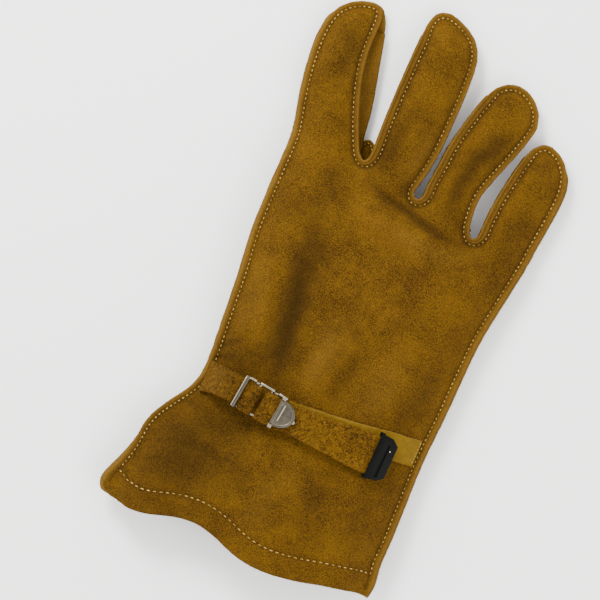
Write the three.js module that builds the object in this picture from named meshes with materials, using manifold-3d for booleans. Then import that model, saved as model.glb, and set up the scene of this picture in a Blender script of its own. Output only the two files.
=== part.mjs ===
// A right-hand firefighter's work glove in split cowhide, lying palm down with its thumb folded
// under the palm. Millimetres; x runs from the index side to the little-finger side, y from the
// cuff to the fingertips, z up. The wrist strap crosses the glove on the line y = 0.
import * as THREE from 'three';
import { mergeVertices } from 'three/addons/utils/BufferGeometryUtils.js';
import Module from 'manifold-3d';

// Hide and seams
const hideThickness = 1.6;
const forkThickness = 1.2;
const weltThickness = 1.2;
const seamAllowance = 3.6; // flat edge outside the stitches, where two panels lie face to face
const weltReveal = 0.8; // how far a welt's raw edge shows past the panels
const seamGap = 0.4; // clearance between two pieces that are sewn together
const forkClearance = 0.6; // side wall to the flat edges that it is sewn between

// Fingers, from the index side; root is the width between the two neighbouring crotches
const fingerSizes = {
  index: { root: 37.5, length: 76, tilt: -8, seamHeight: 7.2, puff: 8.5 },
  middle: { root: 32, length: 89, tilt: 2, seamHeight: 7.6, puff: 8 },
  ring: { root: 33.3, length: 78, tilt: 11, seamHeight: 7.4, puff: 8 },
  little: { root: 30.5, length: 58.5, tilt: 3, seamHeight: 6.8, puff: 8 },
};
const tipSeamHeight = 5;
const tipPuff = 0.7; // fullness of a fingertip, as a share of its finger's
const tipGap = 0.5; // clearance between back and front round a fingertip
const weltEnds = { from: 0.925, to: 0.98 }; // shares of a finger's length where a welt or a side
const forkEnds = { from: 0.83, to: 0.91 }; // wall has run out, and the back meets the front
const tipFrom = { seam: 0.5, puff: 0.6, fork: 0.35 }; // shares of its length where each tapers off
const forkHeight = 8; // between the back seam and the palm seam of a finger's side wall
const indexRoll = 8; // the index finger lies turned, so its side wall shows this far from above

// Hand, wrist and cuff
const handLength = 130.5; // wrist strap to the crotch beside the index finger
const crotchStep = 8; // how much lower each next crotch lies
const crotchRadius = 2.2;
const crotchAngles = [-75, 0, 75]; // degrees, along a crotch's small arc
const crotchPuff = 9;
const wristWidth = 118.2;
const wristOffset = -4.5; // wrist centre from the middle of the knuckles
const cuffLength = 72;
const indexFlare = 27;
const littleFlare = 1.5;
const hemWave = 6;
const hemDepth = 12.5; // turned hem, doubled inwards
const hemEase = 1; // its inner edge thins out this far to each side
const cuffRoll = 3.6; // the palm leather wraps round to the top at the cuff's index side

// Heights of the side seams above the surface, and how far the back stands above them
const handSeamHeight = 14;
const outerSeamHeight = 9;
const wristSeamHeight = 8.5;
const cuffSeamHeight = 12;
const handPuff = 15;
const wristPuff = 9;
const cuffPuff = 13;
const cuffSettles = { height: 0.7, puff: 0.8 }; // shares of the cuff where it reaches them
const puffReach = 0.85; // the back rises within this share of its full rise
const palmReach = 6; // the palm comes down from its seams within about twice this
const thumbReach = 3;
const flatShare = 1.15; // above 1, so that a panel is flat inside the reach
const foldDeep = 4; // the unit of the folds' depths, and of their widths
const foldBroad = 10;

// Thumb
const thumbWidth = 36;
const thumbLength = 88;
const thumbBase = 21; // its lowest point above the wrist strap
const thumbInset = 7; // from the glove's index edge
const thumbStack = 9.7; // height of the flattened thumb under the palm
const thumbSeamHeight = 4.4;
const frontLap = { from: 9, to: 1 }; // before its front's edge the dish's rim goes down under it
const thumbMouth = 60; // length of the hole in the palm that the thumb opens from
const liftStart = 6; // the palm comes down from the thumb to the surface between these distances
const liftEnd = 22;

// Wrist straps and hardware
const strapThickness = 1.7;
const tabWidth = 14;
const tabTail = 14; // end of the tab that is folded back under it
const pullWidth = 13.6;
const strapReach = 0.985; // where the straps end, as a share of half the wrist
const buckleAlong = 27.5; // buckle centre from the wrist's centre, towards the index side
const buckleTurn = -8; // degrees
const buckleLength = 23.6;
const barSpacing = 6.7; // between the bars that the two straps fold round
const wireThickness = 1.4;
const barWidth = 1.8;
const railWidth = 1.3;
const railStep = 1;
const leverStart = 9.2;
const leverLength = 10.2;
const leverEar = 2;
const leverRound = { along: 0.75, across: 0.55 }; // fullness of its round end
const plateThickness = 1.2;
const nibWidth = 3;
const nibReach = 1;
const keeperAlong = 39;
const keeperLength = 10;
const keeperWall = 1.1;
const strapClearance = 0.5; // strap to the back, and strap to the hardware beside it
const foldClearance = 0.4; // strap to the bar that it folds round

// Mesh fineness
const edgeStep = 6;
const edgeTurn = 30; // degrees
const curveSteps = 24;
const sheetStep = 9;
const guideClear = { rim: 0.93, point: 0.75 }; // shares of the seam allowance
const latticeClear = { rim: 0.5, point: 0.62 }; // shares of sheetStep
const crownOffset = 4.5; // a line of points this far inside the stitches, where the back rises
const slopeProbe = 0.8;
const bedSteps = 24;
const bedMargin = 1.1; // the bed is as wide as this share of the strap
const strapStep = 8;
const bendClear = 1.5; // from a step of a strap to a bend of its bed
const foldTurns = 5; // steps in a strap's half turn round a bar
const turnProbe = 1;
const cutMargin = 1;
const weldTolerance = 1e-4;

const radians = THREE.MathUtils.degToRad;
const lerp = THREE.MathUtils.lerp;
const smooth = (value, low, high) => THREE.MathUtils.smoothstep(value, low, high);
const fingerNames = Object.keys(fingerSizes);
const knuckleWidth = fingerNames.reduce((sum, name) => sum + fingerSizes[name].root, 0);

// Thumb outline, from its base: half widths as shares of half its width.
const thumbRows = [
  { along: 0.02, half: 0.35 },
  { along: 0.1, half: 0.72 },
  { along: 0.25, half: 0.98 },
  { along: 0.42, half: 1.0 },
  { along: 0.6, half: 0.93 },
  { along: 0.78, half: 0.86 },
  { along: 0.9, half: 0.68 },
  { along: 0.975, half: 0.36 },
];

// Straps, along the wrist in shares of half its width: how far each lies towards the fingers and
// how wide it is, in shares of its strap's width, and its turn as a share of the buckle's.
const tabRows = [
  { along: -1, shift: 0.13, width: 1.1, turn: 0.1 },
  { along: -0.7, shift: 0.11, width: 0.97, turn: 1 },
  { along: -0.465, shift: -0.02, width: 0.97, turn: 1 },
  { along: -0.33, shift: -0.1, width: 0.97, turn: 1 },
];
const runRows = [
  { along: -0.465, shift: -0.02, width: 1, turn: 1 },
  { along: -0.33, shift: -0.08, width: 1, turn: 1 },
  { along: -0.15, shift: -0.04, width: 1, turn: 0.5 },
  { along: 0.2, shift: 0, width: 1, turn: 0 },
  { along: 0.46, shift: 0.07, width: 1, turn: -0.3 },
  { along: 0.7, shift: 0.2, width: 1.02, turn: -0.3 },
  { along: 1, shift: 0.26, width: 1.02, turn: 0 },
];
const returnRows = [
  { along: -0.465, shift: -0.02, width: 1, turn: 1 },
  { along: -0.26, shift: -0.14, width: 1, turn: 1 },
  { along: -0.14, shift: -0.18, width: 1.08, turn: 0.8 },
  { along: 0.2, shift: -0.26, width: 1.26, turn: 0.5 },
  { along: 0.38, shift: -0.32, width: 1.4, turn: 0.4 },
  { along: 0.6, shift: -0.35, width: 1.5, turn: 0.3 },
  { along: 1, shift: -0.35, width: 1.5, turn: 0.3 },
];

// Rails of the buckle, along its length in shares of it: a raised stretch stands out to the side.
const railRows = [
  { from: -0.5, to: -0.24, out: 0, top: 1 },
  { from: -0.24, to: -0.17, out: -0.1, top: 0.4 },
  { from: -0.17, to: 0.2, out: 0.1, top: 0.8 },
  { from: 0.2, to: 0.26, out: -0.1, top: 0.4 },
  { from: 0.26, to: 0.5, out: 0, top: 1 },
];

// Outline of each finger: left and right edges at shares of its length, in shares of half its
// root width from a straight centre line; the last row is the top of the tip.
const fingerRows = {
  index: [
    { along: 0.1, left: -1.0, right: 0.75 },
    { along: 0.25, left: -1.05, right: 0.6 },
    { along: 0.4, left: -1.07, right: 0.49 },
    { along: 0.55, left: -1.05, right: 0.43 },
    { along: 0.7, left: -0.98, right: 0.46 },
    { along: 0.82, left: -0.85, right: 0.54 },
    { along: 0.92, left: -0.61, right: 0.59 },
    { along: 0.98, left: -0.22, right: 0.52 },
    { along: 1.0, left: 0.22, right: 0.22 },
  ],
  middle: [
    { along: 0.1, left: -0.86, right: 1.0 },
    { along: 0.25, left: -0.91, right: 1.1 },
    { along: 0.4, left: -0.94, right: 1.12 },
    { along: 0.55, left: -0.95, right: 1.12 },
    { along: 0.7, left: -0.95, right: 1.09 },
    { along: 0.82, left: -0.94, right: 1.0 },
    { along: 0.91, left: -0.9, right: 0.74 },
    { along: 0.97, left: -0.76, right: 0.22 },
    { along: 1.0, left: -0.4, right: -0.4 },
  ],
  ring: [
    { along: 0.1, left: -0.98, right: 0.69 },
    { along: 0.25, left: -1.03, right: 0.56 },
    { along: 0.4, left: -1.1, right: 0.65 },
    { along: 0.55, left: -1.08, right: 0.77 },
    { along: 0.7, left: -1.04, right: 0.86 },
    { along: 0.82, left: -0.96, right: 0.88 },
    { along: 0.91, left: -0.8, right: 0.66 },
    { along: 0.97, left: -0.5, right: 0.26 },
    { along: 0.99, left: -0.12, right: -0.12 },
  ],
  little: [
    { along: 0.1, left: -0.87, right: 1.01 },
    { along: 0.25, left: -0.87, right: 1.06 },
    { along: 0.4, left: -0.84, right: 1.11 },
    { along: 0.55, left: -0.76, right: 1.14 },
    { along: 0.7, left: -0.68, right: 1.12 },
    { along: 0.82, left: -0.58, right: 0.98 },
    { along: 0.91, left: -0.46, right: 0.74 },
    { along: 0.98, left: -0.22, right: 0.36 },
    { along: 1.0, left: 0.06, right: 0.06 },
  ],
};

// Sides of the hand, from the wrist up: how far each edge stands out from a straight line, as a
// share of the knuckle width, and the seam's height as a share of the way to its full height.
const handRows = [
  { up: 0.1, left: -0.006, right: -0.004, rise: 0.35 },
  { up: 0.25, left: -0.002, right: -0.008, rise: 0.8 },
  { up: 0.42, left: 0.002, right: -0.017, rise: 1.0 },
  { up: 0.6, left: 0.013, right: -0.023, rise: 1.0 },
  { up: 0.78, left: 0.009, right: -0.013, rise: 1.0 },
];

// Sides of the cuff, from the wrist down: shares of each side's flare, and of the cuff's roll.
const cuffRows = [
  { down: 0.14, left: 0.16, right: 0, roll: 0 },
  { down: 0.28, left: 0.39, right: 0, roll: 0.1 },
  { down: 0.42, left: 0.6, right: 0, roll: 0.3 },
  { down: 0.6, left: 0.7, right: 0, roll: 0.6 },
  { down: 0.76, left: 0.87, right: -0.5, roll: 1 },
  { down: 0.9, left: 1.02, right: 0.6, roll: 1 },
  { down: 0.99, left: 0.93, right: -0.4, roll: 1 },
];

// Hem of the cuff, from the index side: how far it hangs past its line, in shares of the wave.
const hemRows = [
  { across: 0.03, dip: 0.05 },
  { across: 0.09, dip: 0.42 },
  { across: 0.16, dip: 0.22 },
  { across: 0.25, dip: -0.37 },
  { across: 0.32, dip: -0.58 },
  { across: 0.39, dip: -0.3 },
  { across: 0.5, dip: 0.67 },
  { across: 0.57, dip: 1 },
  { across: 0.64, dip: 1.05 },
  { across: 0.75, dip: 0.75 },
  { across: 0.83, dip: 0.33 },
  { across: 0.92, dip: 0 },
  { across: 0.98, dip: -0.2 },
];

// Folds in the back of the glove: from and to in shares of half the wrist width across, and of
// the hand's length (above the wrist) or the cuff's length (below it) along; depth in shares of
// foldDeep, below 0 where the leather swells up, and width in shares of foldBroad.
const foldRows = [
  { name: 'gather above the buckle', from: [-0.46, 0.09], to: [-0.52, 0.62], depth: 0.85, width: 0.9 },
  { name: 'swell beside it', from: [-0.1, 0.12], to: [-0.08, 0.5], depth: -0.4, width: 1 },
  { name: 'pleat in the middle', from: [0.13, 0.09], to: [0.18, 0.34], depth: 0.35, width: 0.7 },
  { name: 'pleat by the tab', from: [0.8, 0.09], to: [0.84, 0.4], depth: 0.4, width: 0.7 },
  { name: 'gather below the buckle', from: [-0.58, -0.17], to: [-0.86, -0.85], depth: 1, width: 1.1 },
  { name: 'swell of the cuff', from: [-0.22, -0.25], to: [-0.05, -1], depth: -0.65, width: 1.4 },
  { name: 'hollow of the cuff', from: [0.32, -0.2], to: [0.42, -1], depth: 0.45, width: 1.1 },
  { name: 'swell at the little side', from: [0.72, -0.25], to: [0.74, -1], depth: -0.35, width: 1.1 },
  { name: 'knuckle crease', from: [-0.22, 0.87], to: [0.2, 0.845], depth: 0.35, width: 0.4 },
  { name: 'knuckle crease, outer', from: [0.2, 0.845], to: [0.64, 0.84], depth: 0.5, width: 0.4 },
  { name: 'crease up the index finger', from: [-0.87, 1.22], to: [-0.86, 1.46], depth: 0.3, width: 0.5 },
  { name: 'crease up the ring finger', from: [0.42, 0.96], to: [0.64, 1.34], depth: 0.45, width: 0.6 },
];

// Distance in the plan from a place to a chain of points.
function distanceTo(chain, x, y) {
  let nearest = Infinity;
  for (let i = 0; i + 1 < chain.length; i++) {
    const a = chain[i];
    const dx = chain[i + 1].x - a.x;
    const dy = chain[i + 1].y - a.y;
    const share = THREE.MathUtils.clamp(((x - a.x) * dx + (y - a.y) * dy) / (dx * dx + dy * dy), 0, 1);
    nearest = Math.min(nearest, Math.hypot(x - a.x - share * dx, y - a.y - share * dy));
  }
  return nearest;
}

// Whether a place in the plan lies inside a closed outline.
function inside(outline, x, y) {
  let crossings = 0;
  outline.forEach((a, i) => {
    const b = outline[(i + 1) % outline.length];
    if (a.y > y !== b.y > y && x < a.x + ((y - a.y) / (b.y - a.y)) * (b.x - a.x)) crossings += 1;
  });
  return crossings % 2 === 1;
}

const flat = (point) => new THREE.Vector3(point.x, point.y, 0);
const loop = (outline) => [...outline, outline[0]];

// Unit vectors in the plan that point from a chain to its right-hand side, where the panels lie.
function inwardNormals(chain, isLoop = false) {
  const last = chain.length - 1;
  return chain.map((point, i) => {
    const before = isLoop && i === 0 ? chain[last] : chain[Math.max(i - 1, 0)];
    const after = isLoop && i === last ? chain[0] : chain[Math.min(i + 1, last)];
    const tangent = flat(after).sub(flat(before)).normalize();
    return new THREE.Vector3(tangent.y, -tangent.x, 0);
  });
}

// Places of the finger roots along the knuckles, and of the crotches between them.
function layOutFingers() {
  let edge = -knuckleWidth / 2;
  return fingerNames.map((name, order) => {
    const size = fingerSizes[name];
    const leftStep = Math.max(order - 1, 0);
    const rightStep = Math.min(order, fingerNames.length - 2);
    const leftCrotch = new THREE.Vector2(edge, handLength - crotchStep * leftStep);
    edge += size.root;
    const rightCrotch = new THREE.Vector2(edge, handLength - crotchStep * rightStep);
    const tilt = radians(size.tilt);
    return {
      name,
      size,
      leftCrotch,
      rightCrotch,
      root: leftCrotch.clone().lerp(rightCrotch, 0.5),
      along: new THREE.Vector2(Math.sin(tilt), Math.cos(tilt)),
      across: new THREE.Vector2(Math.cos(tilt), -Math.sin(tilt)),
    };
  });
}
const layout = layOutFingers();

// Control point of a side seam that has a welt between its panels. The back's edge can lie
// further in than the palm's, where the palm leather comes round to the top.
function weltControl(x, y, height, puff, roll = 0) {
  const apart = weltThickness + 2 * seamGap;
  const back = new THREE.Vector3(x + roll, y, height + apart / 2);
  const palm = new THREE.Vector3(x, y, height - apart / 2);
  return { back, palm, puff };
}

// Control points of one edge of a finger, from its root to its tip.
function fingerEdge(finger, side) {
  const { size, root, along, across, name } = finger;
  const forked = !(name === 'index' && side === 'left') && !(name === 'little' && side === 'right');
  const rows = fingerRows[name].slice(0, side === 'left' ? undefined : -1);
  const ends = forked ? forkEnds : weltEnds;
  const lastFull = rows.findLast((row) => row.along < ends.from);
  return rows.map((row) => {
    const place = root.clone().addScaledVector(along, row.along * size.length);
    place.addScaledVector(across, (row[side] * size.root) / 2);
    const rolled = name === 'index' && forked ? indexRoll * Math.sin(Math.PI * row.along) : 0;
    const height = lerp(size.seamHeight, tipSeamHeight, smooth(row.along, tipFrom.seam, 1));
    const forkLeast = 2 * forkThickness + 2 * forkClearance + 2 * seamGap;
    const tall = lerp(forkHeight, forkLeast, smooth(row.along, tipFrom.fork, forkEnds.from));
    const full = forked ? tall : weltThickness + 2 * seamGap;
    const apart = lerp(full, tipGap, smooth(row.along, ends.from, ends.to));
    return {
      back: new THREE.Vector3(place.x, place.y, height + apart / 2),
      palm: new THREE.Vector3(place.x + rolled, place.y, height - apart / 2),
      puff: lerp(size.puff, size.puff * tipPuff, smooth(row.along, tipFrom.puff, 1)),
      mark: row === lastFull ? `${name} ${side}` : undefined,
    };
  });
}

// Control points round a crotch, where the gap between two fingers ends in a small arc.
function crotchArc(place, height, mark) {
  return crotchAngles.map((angle) => {
    const x = place.x + crotchRadius * Math.sin(radians(angle));
    const y = place.y + crotchRadius * (1 - Math.cos(radians(angle)));
    return {
      back: new THREE.Vector3(x, y, height + forkHeight / 2),
      palm: new THREE.Vector3(x, y, height - forkHeight / 2),
      puff: crotchPuff,
      mark: angle === 0 ? mark : undefined,
    };
  });
}

// All control points of the sewn line, from the hem's corner on the index side, up and round
// the fingers, and down to the hem's corner on the little-finger side.
function sewnControls() {
  const wristEdge = { left: wristOffset - wristWidth / 2, right: wristOffset + wristWidth / 2 };
  const cuffPoint = (row, edge, flare, roll) => {
    const height = lerp(wristSeamHeight, cuffSeamHeight, smooth(row.down, 0, cuffSettles.height));
    const puff = lerp(wristPuff, cuffPuff, smooth(row.down, 0, cuffSettles.puff));
    return weltControl(edge + flare, -row.down * cuffLength, height, puff, roll * row.roll);
  };
  const handPoint = (row, from, to, stand, top, fullHeight) => {
    const x = lerp(from, to, row.up) + stand * knuckleWidth;
    const height = lerp(wristSeamHeight, fullHeight, row.rise);
    return weltControl(x, row.up * top, height, lerp(wristPuff, handPuff, row.rise));
  };
  const rootPoint = (place, height, puff) => weltControl(place.x, place.y, height, puff);
  const first = layout[0];
  const last = layout.at(-1);
  const indexSide = [
    ...[...cuffRows]
      .reverse()
      .map((row) => cuffPoint(row, wristEdge.left, -row.left * indexFlare, cuffRoll)),
    weltControl(wristEdge.left, 0, wristSeamHeight, wristPuff),
    ...handRows.map((row) =>
      handPoint(row, wristEdge.left, -knuckleWidth / 2, -row.left, handLength, handSeamHeight),
    ),
    rootPoint(first.leftCrotch, (first.size.seamHeight + handSeamHeight) / 2, crotchPuff),
  ];
  const fingers = layout.flatMap((finger, order) => {
    const edges = [...fingerEdge(finger, 'left'), ...fingerEdge(finger, 'right').reverse()];
    if (finger === last) return edges;
    const height = (finger.size.seamHeight + layout[order + 1].size.seamHeight) / 2;
    return [...edges, ...crotchArc(finger.rightCrotch, height, `crotch ${order}`)];
  });
  const littleTop = last.rightCrotch.y;
  const littleSide = [
    rootPoint(last.rightCrotch, (last.size.seamHeight + outerSeamHeight) / 2, crotchPuff),
    ...[...handRows].reverse().map((row) =>
      handPoint(row, wristEdge.right, knuckleWidth / 2, row.right, littleTop, outerSeamHeight),
    ),
    weltControl(wristEdge.right, 0, wristSeamHeight, wristPuff),
    ...cuffRows.map((row) => cuffPoint(row, wristEdge.right, row.right * littleFlare, 0)),
  ];
  return [...indexSide, ...fingers, ...littleSide];
}

// Samples of the sewn line, so that no step is longer than edgeStep or turns more than edgeTurn.
// Each has its place on the back's edge and on the palm's; marked control points are kept.
function sampleSeam(controls) {
  const backCurve = new THREE.CatmullRomCurve3(controls.map((control) => control.back));
  const palmCurve = new THREE.CatmullRomCurve3(controls.map((control) => control.palm));
  const spans = controls.length - 1;
  const samples = [];
  const take = (span, part) => {
    const share = (span + part) / spans;
    const near = controls[span];
    const next = controls[Math.min(span + 1, spans)];
    const onControl = part === 0;
    const kept = onControl && (span === 0 || span === spans || near.mark !== undefined);
    const back = backCurve.getPoint(share);
    const tangent = flat(backCurve.getTangent(share)).normalize();
    const before = samples.at(-1);
    if (!kept) {
      const turned = THREE.MathUtils.radToDeg(before.tangent.angleTo(tangent));
      if (flat(before.back).distanceTo(flat(back)) < edgeStep && turned < edgeTurn) return;
    } else if (before && !before.kept && before.back.distanceTo(back) < edgeStep / 3) {
      samples.pop();
    }
    samples.push({
      back,
      palm: palmCurve.getPoint(share),
      tangent,
      puff: lerp(near.puff, next.puff, part),
      mark: onControl ? near.mark : undefined,
      kept,
    });
  };
  for (let span = 0; span < spans; span++) {
    for (let step = 0; step < curveSteps; step++) take(span, step / curveSteps);
  }
  take(spans, 0);
  return samples;
}

const seam = sampleSeam(sewnControls());
const markAt = (mark) => seam.findIndex((sample) => sample.mark === mark);
const backLine = seam.map((sample) => sample.back);
const palmLine = seam.map((sample) => sample.palm);

// Hem edge in the plan, from the little-finger corner back to the index corner.
function hemLine(line) {
  const first = flat(line[0]);
  const last = flat(line.at(-1));
  const points = hemRows.map((row) => {
    const x = lerp(first.x, last.x, row.across);
    return new THREE.Vector3(x, -cuffLength - row.dip * hemWave, 0);
  });
  const curve = new THREE.CatmullRomCurve3([first, ...points, last].reverse());
  return curve.getSpacedPoints(Math.round(curve.getLength() / edgeStep)).slice(1, -1);
}
const backHem = hemLine(backLine);
const palmHem = hemLine(palmLine);

// A value known along the sewn line, spread over the panel: at the line it has the line's value,
// and further in it is a smooth mean of the values around it.
function spread(line, values) {
  return (x, y) => {
    let sum = 0;
    let weights = 0;
    line.forEach((place, i) => {
      const weight = 1 / ((x - place.x) ** 2 + (y - place.y) ** 2 + 1e-6) ** 2;
      sum += weight * values[i];
      weights += weight;
    });
    return sum / weights;
  };
}
const backSeamHeight = spread(backLine, backLine.map((place) => place.z));
const palmSeamHeight = spread(palmLine, palmLine.map((place) => place.z));
const backPuff = spread(backLine, seam.map((sample) => sample.puff));

// How much of its full rise a panel has, from 0 outside the stitches to nearly 1 far inside.
function pillow(line, reach, x, y) {
  return 1 - Math.exp(-Math.max(distanceTo(line, x, y) - seamAllowance, 0) / reach);
}

// Depth of all the folds together at a place on the back.
const foldPlace = ([across, along]) =>
  new THREE.Vector2(
    wristOffset + (across * wristWidth) / 2,
    along * (along < 0 ? cuffLength : handLength),
  );
const folds = foldRows.map((row) => ({ ...row, chain: [foldPlace(row.from), foldPlace(row.to)] }));
function foldDepth(x, y) {
  return folds.reduce((sum, fold) => {
    const away = distanceTo(fold.chain, x, y) / (fold.width * foldBroad);
    return sum + fold.depth * foldDeep * Math.exp(-away * away);
  }, 0);
}

// Upper face of the back.
function backTop(x, y) {
  const puff = backPuff(x, y);
  const share = pillow(backLine, puff * puffReach, x, y);
  return backSeamHeight(x, y) + hideThickness + share * (puff - foldDepth(x, y));
}

// The hem is turned in, so the leather is doubled there, but not in the side seams: it gets thick
// where the panel has risen by these shares.
const hemRise = { from: 0.3, to: 0.6 };
function hideAt(line, hem) {
  return (x, y) => {
    const turned = 1 - smooth(distanceTo(hem, x, y), hemDepth - hemEase, hemDepth + hemEase);
    const risen = pillow(line, seamAllowance, x, y);
    return hideThickness * (1 + turned * smooth(risen, hemRise.from, hemRise.to));
  };
}

// Thumb outline in the plan, clockwise from its base: a long rounded shape.
function thumbOutline() {
  const centre = wristOffset - wristWidth / 2 + thumbInset + thumbWidth / 2;
  const place = (row, side) => {
    const x = centre + (side * row.half * thumbWidth) / 2;
    return new THREE.Vector3(x, thumbBase + row.along * thumbLength, 0);
  };
  const left = thumbRows.map((row) => place(row, -1));
  const right = thumbRows.map((row) => place(row, 1)).reverse();
  const curve = new THREE.CatmullRomCurve3([...left, ...right], true);
  return curve.getSpacedPoints(Math.round(curve.getLength() / edgeStep)).slice(0, -1);
}
const thumbEdge = thumbOutline();
const thumbMouthEnd = thumbBase + thumbMouth;

// Height at which the palm lies over the thumb; 0 where it rests on the surface.
function palmLift(x, y) {
  const away = inside(thumbEdge, x, y) ? 0 : distanceTo(loop(thumbEdge), x, y);
  return (thumbStack + seamGap) * (1 - smooth(away, liftStart, liftEnd));
}

// Lower face of the palm: flat where it rests, and rounded up to the seams at its sides.
function palmUnder(x, y) {
  const share = Math.min(1, flatShare * pillow(palmLine, palmReach, x, y));
  return lerp(palmSeamHeight(x, y) - hideThickness, palmLift(x, y), share);
}

// Delaunay triangulation of points in the plan, adding one point at a time.
function triangulate(points) {
  const far = 1e5;
  const all = [...points, { x: -far, y: -far }, { x: far, y: -far }, { x: 0, y: far }];
  const circle = (a, b, c) => {
    const bx = all[b].x - all[a].x;
    const by = all[b].y - all[a].y;
    const cx = all[c].x - all[a].x;
    const cy = all[c].y - all[a].y;
    const d = 2 * (bx * cy - by * cx);
    const ux = (cy * (bx * bx + by * by) - by * (cx * cx + cy * cy)) / d;
    const uy = (bx * (cx * cx + cy * cy) - cx * (bx * bx + by * by)) / d;
    return { a, b, c, x: all[a].x + ux, y: all[a].y + uy, reach: ux * ux + uy * uy };
  };
  const count = points.length;
  let triangles = [circle(count, count + 1, count + 2)];
  points.forEach((point, index) => {
    const rim = new Map();
    const kept = triangles.filter((triangle) => {
      const away = (point.x - triangle.x) ** 2 + (point.y - triangle.y) ** 2;
      if (away >= triangle.reach) return true;
      const { a, b, c } = triangle;
      for (const [from, to] of [[a, b], [b, c], [c, a]]) {
        if (!rim.delete(`${to} ${from}`)) rim.set(`${from} ${to}`, [from, to]);
      }
      return false;
    });
    triangles = [...kept, ...[...rim.values()].map(([from, to]) => circle(from, to, index))];
  });
  return triangles.filter(({ a, b, c }) => Math.max(a, b, c) < count);
}

// Triangles that fill an outline round its holes. An edge of a rim that the triangulation
// leaves out is halved until every edge is there.
function fillOutline(outline, holes, inner) {
  const rims = [outline, ...holes].map((rim) => rim.map(flat));
  for (;;) {
    const points = [...rims.flat(), ...inner];
    const triangles = triangulate(points);
    const edges = new Set(triangles.flatMap(({ a, b, c }) => [`${a} ${b}`, `${b} ${c}`, `${c} ${a}`]));
    let offset = 0;
    let whole = true;
    for (const rim of rims) {
      const last = rim.length - 1;
      for (let i = last; i >= 0; i--) {
        const from = offset + i;
        const to = i === last ? offset : from + 1;
        if (edges.has(`${from} ${to}`) || edges.has(`${to} ${from}`)) continue;
        whole = false;
        rim.splice(i + 1, 0, rim[i].clone().lerp(rim[i === last ? 0 : i + 1], 0.5));
      }
      offset += last + 1;
    }
    if (!whole) continue;
    const middle = ({ a, b, c }) => points[a].clone().add(points[b]).add(points[c]).divideScalar(3);
    const kept = triangles.filter((triangle) => {
      const { x, y } = middle(triangle);
      return inside(rims[0], x, y) && !rims.slice(1).some((hole) => inside(hole, x, y));
    });
    return { points, triangles: kept.map(({ a, b, c }) => [a, b, c]) };
  }
}

// Points inside an outline: the guide points that are clear of each other and of the rims, and
// then an even lattice.
function innerPoints(outline, holes, guides) {
  const rims = [outline, ...holes];
  const chosen = [];
  const offer = (x, y, fromRim, fromPoint) => {
    if (!inside(outline, x, y) || holes.some((hole) => inside(hole, x, y))) return;
    if (rims.some((rim) => distanceTo(loop(rim), x, y) < fromRim)) return;
    if (chosen.some((point) => Math.hypot(point.x - x, point.y - y) < fromPoint)) return;
    chosen.push(new THREE.Vector3(x, y, 0));
  };
  const offRim = seamAllowance * guideClear.rim;
  for (const guide of guides) offer(guide.x, guide.y, offRim, seamAllowance * guideClear.point);
  const box = new THREE.Box3().setFromPoints(outline);
  const rise = sheetStep * Math.sin(Math.PI / 3);
  for (let row = 0; box.min.y + row * rise < box.max.y; row++) {
    const start = box.min.x + ((row % 2) * sheetStep) / 2;
    for (let x = start; x < box.max.x; x += sheetStep) {
      offer(x, box.min.y + row * rise, sheetStep * latticeClear.rim, sheetStep * latticeClear.point);
    }
  }
  return chosen;
}

// Points beside a line, on the side where the panels lie.
function beside(line, distance, isLoop = false) {
  const normals = inwardNormals(line, isLoop);
  return line.map((point, i) => flat(point).addScaledVector(normals[i], distance));
}

function weld(positions) {
  const geometry = new THREE.BufferGeometry();
  geometry.setAttribute('position', new THREE.Float32BufferAttribute(positions, 3));
  const merged = mergeVertices(geometry, weldTolerance);
  merged.computeVertexNormals();
  return merged;
}

// A sheet of leather. Its outer face follows height(x, y), and its inner face lies a thickness
// away along the surface's own normal. side is 1 where the outer face looks up, -1 where down.
function sheetGeometry({ outline, holes = [], guides = [], height, side, thickness }) {
  const { points, triangles } = fillOutline(outline, holes, innerPoints(outline, holes, guides));
  const outer = points.map(({ x, y }) => new THREE.Vector3(x, y, height(x, y)));
  const inner = outer.map((place) => {
    const { x, y } = place;
    const slopeX = (height(x + slopeProbe, y) - height(x - slopeProbe, y)) / (2 * slopeProbe);
    const slopeY = (height(x, y + slopeProbe) - height(x, y - slopeProbe)) / (2 * slopeProbe);
    const normal = new THREE.Vector3(-slopeX, -slopeY, 1).normalize();
    return place.clone().addScaledVector(normal, -side * (thickness ? thickness(x, y) : hideThickness));
  });
  const positions = [];
  const add = (...corners) => corners.forEach((corner) => positions.push(corner.x, corner.y, corner.z));
  const rim = new Map();
  for (const [a, b, c] of triangles) {
    const turn = flat(outer[b]).sub(flat(outer[a])).cross(flat(outer[c]).sub(flat(outer[a]))).z;
    const [p, q, r] = turn * side > 0 ? [a, b, c] : [a, c, b];
    add(outer[p], outer[q], outer[r]);
    add(inner[p], inner[r], inner[q]);
    for (const [from, to] of [[p, q], [q, r], [r, p]]) {
      if (!rim.delete(`${to} ${from}`)) rim.set(`${from} ${to}`, [from, to]);
    }
  }
  for (const [from, to] of rim.values()) {
    add(outer[from], inner[from], inner[to]);
    add(outer[from], inner[to], outer[to]);
  }
  return weld(positions);
}

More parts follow.
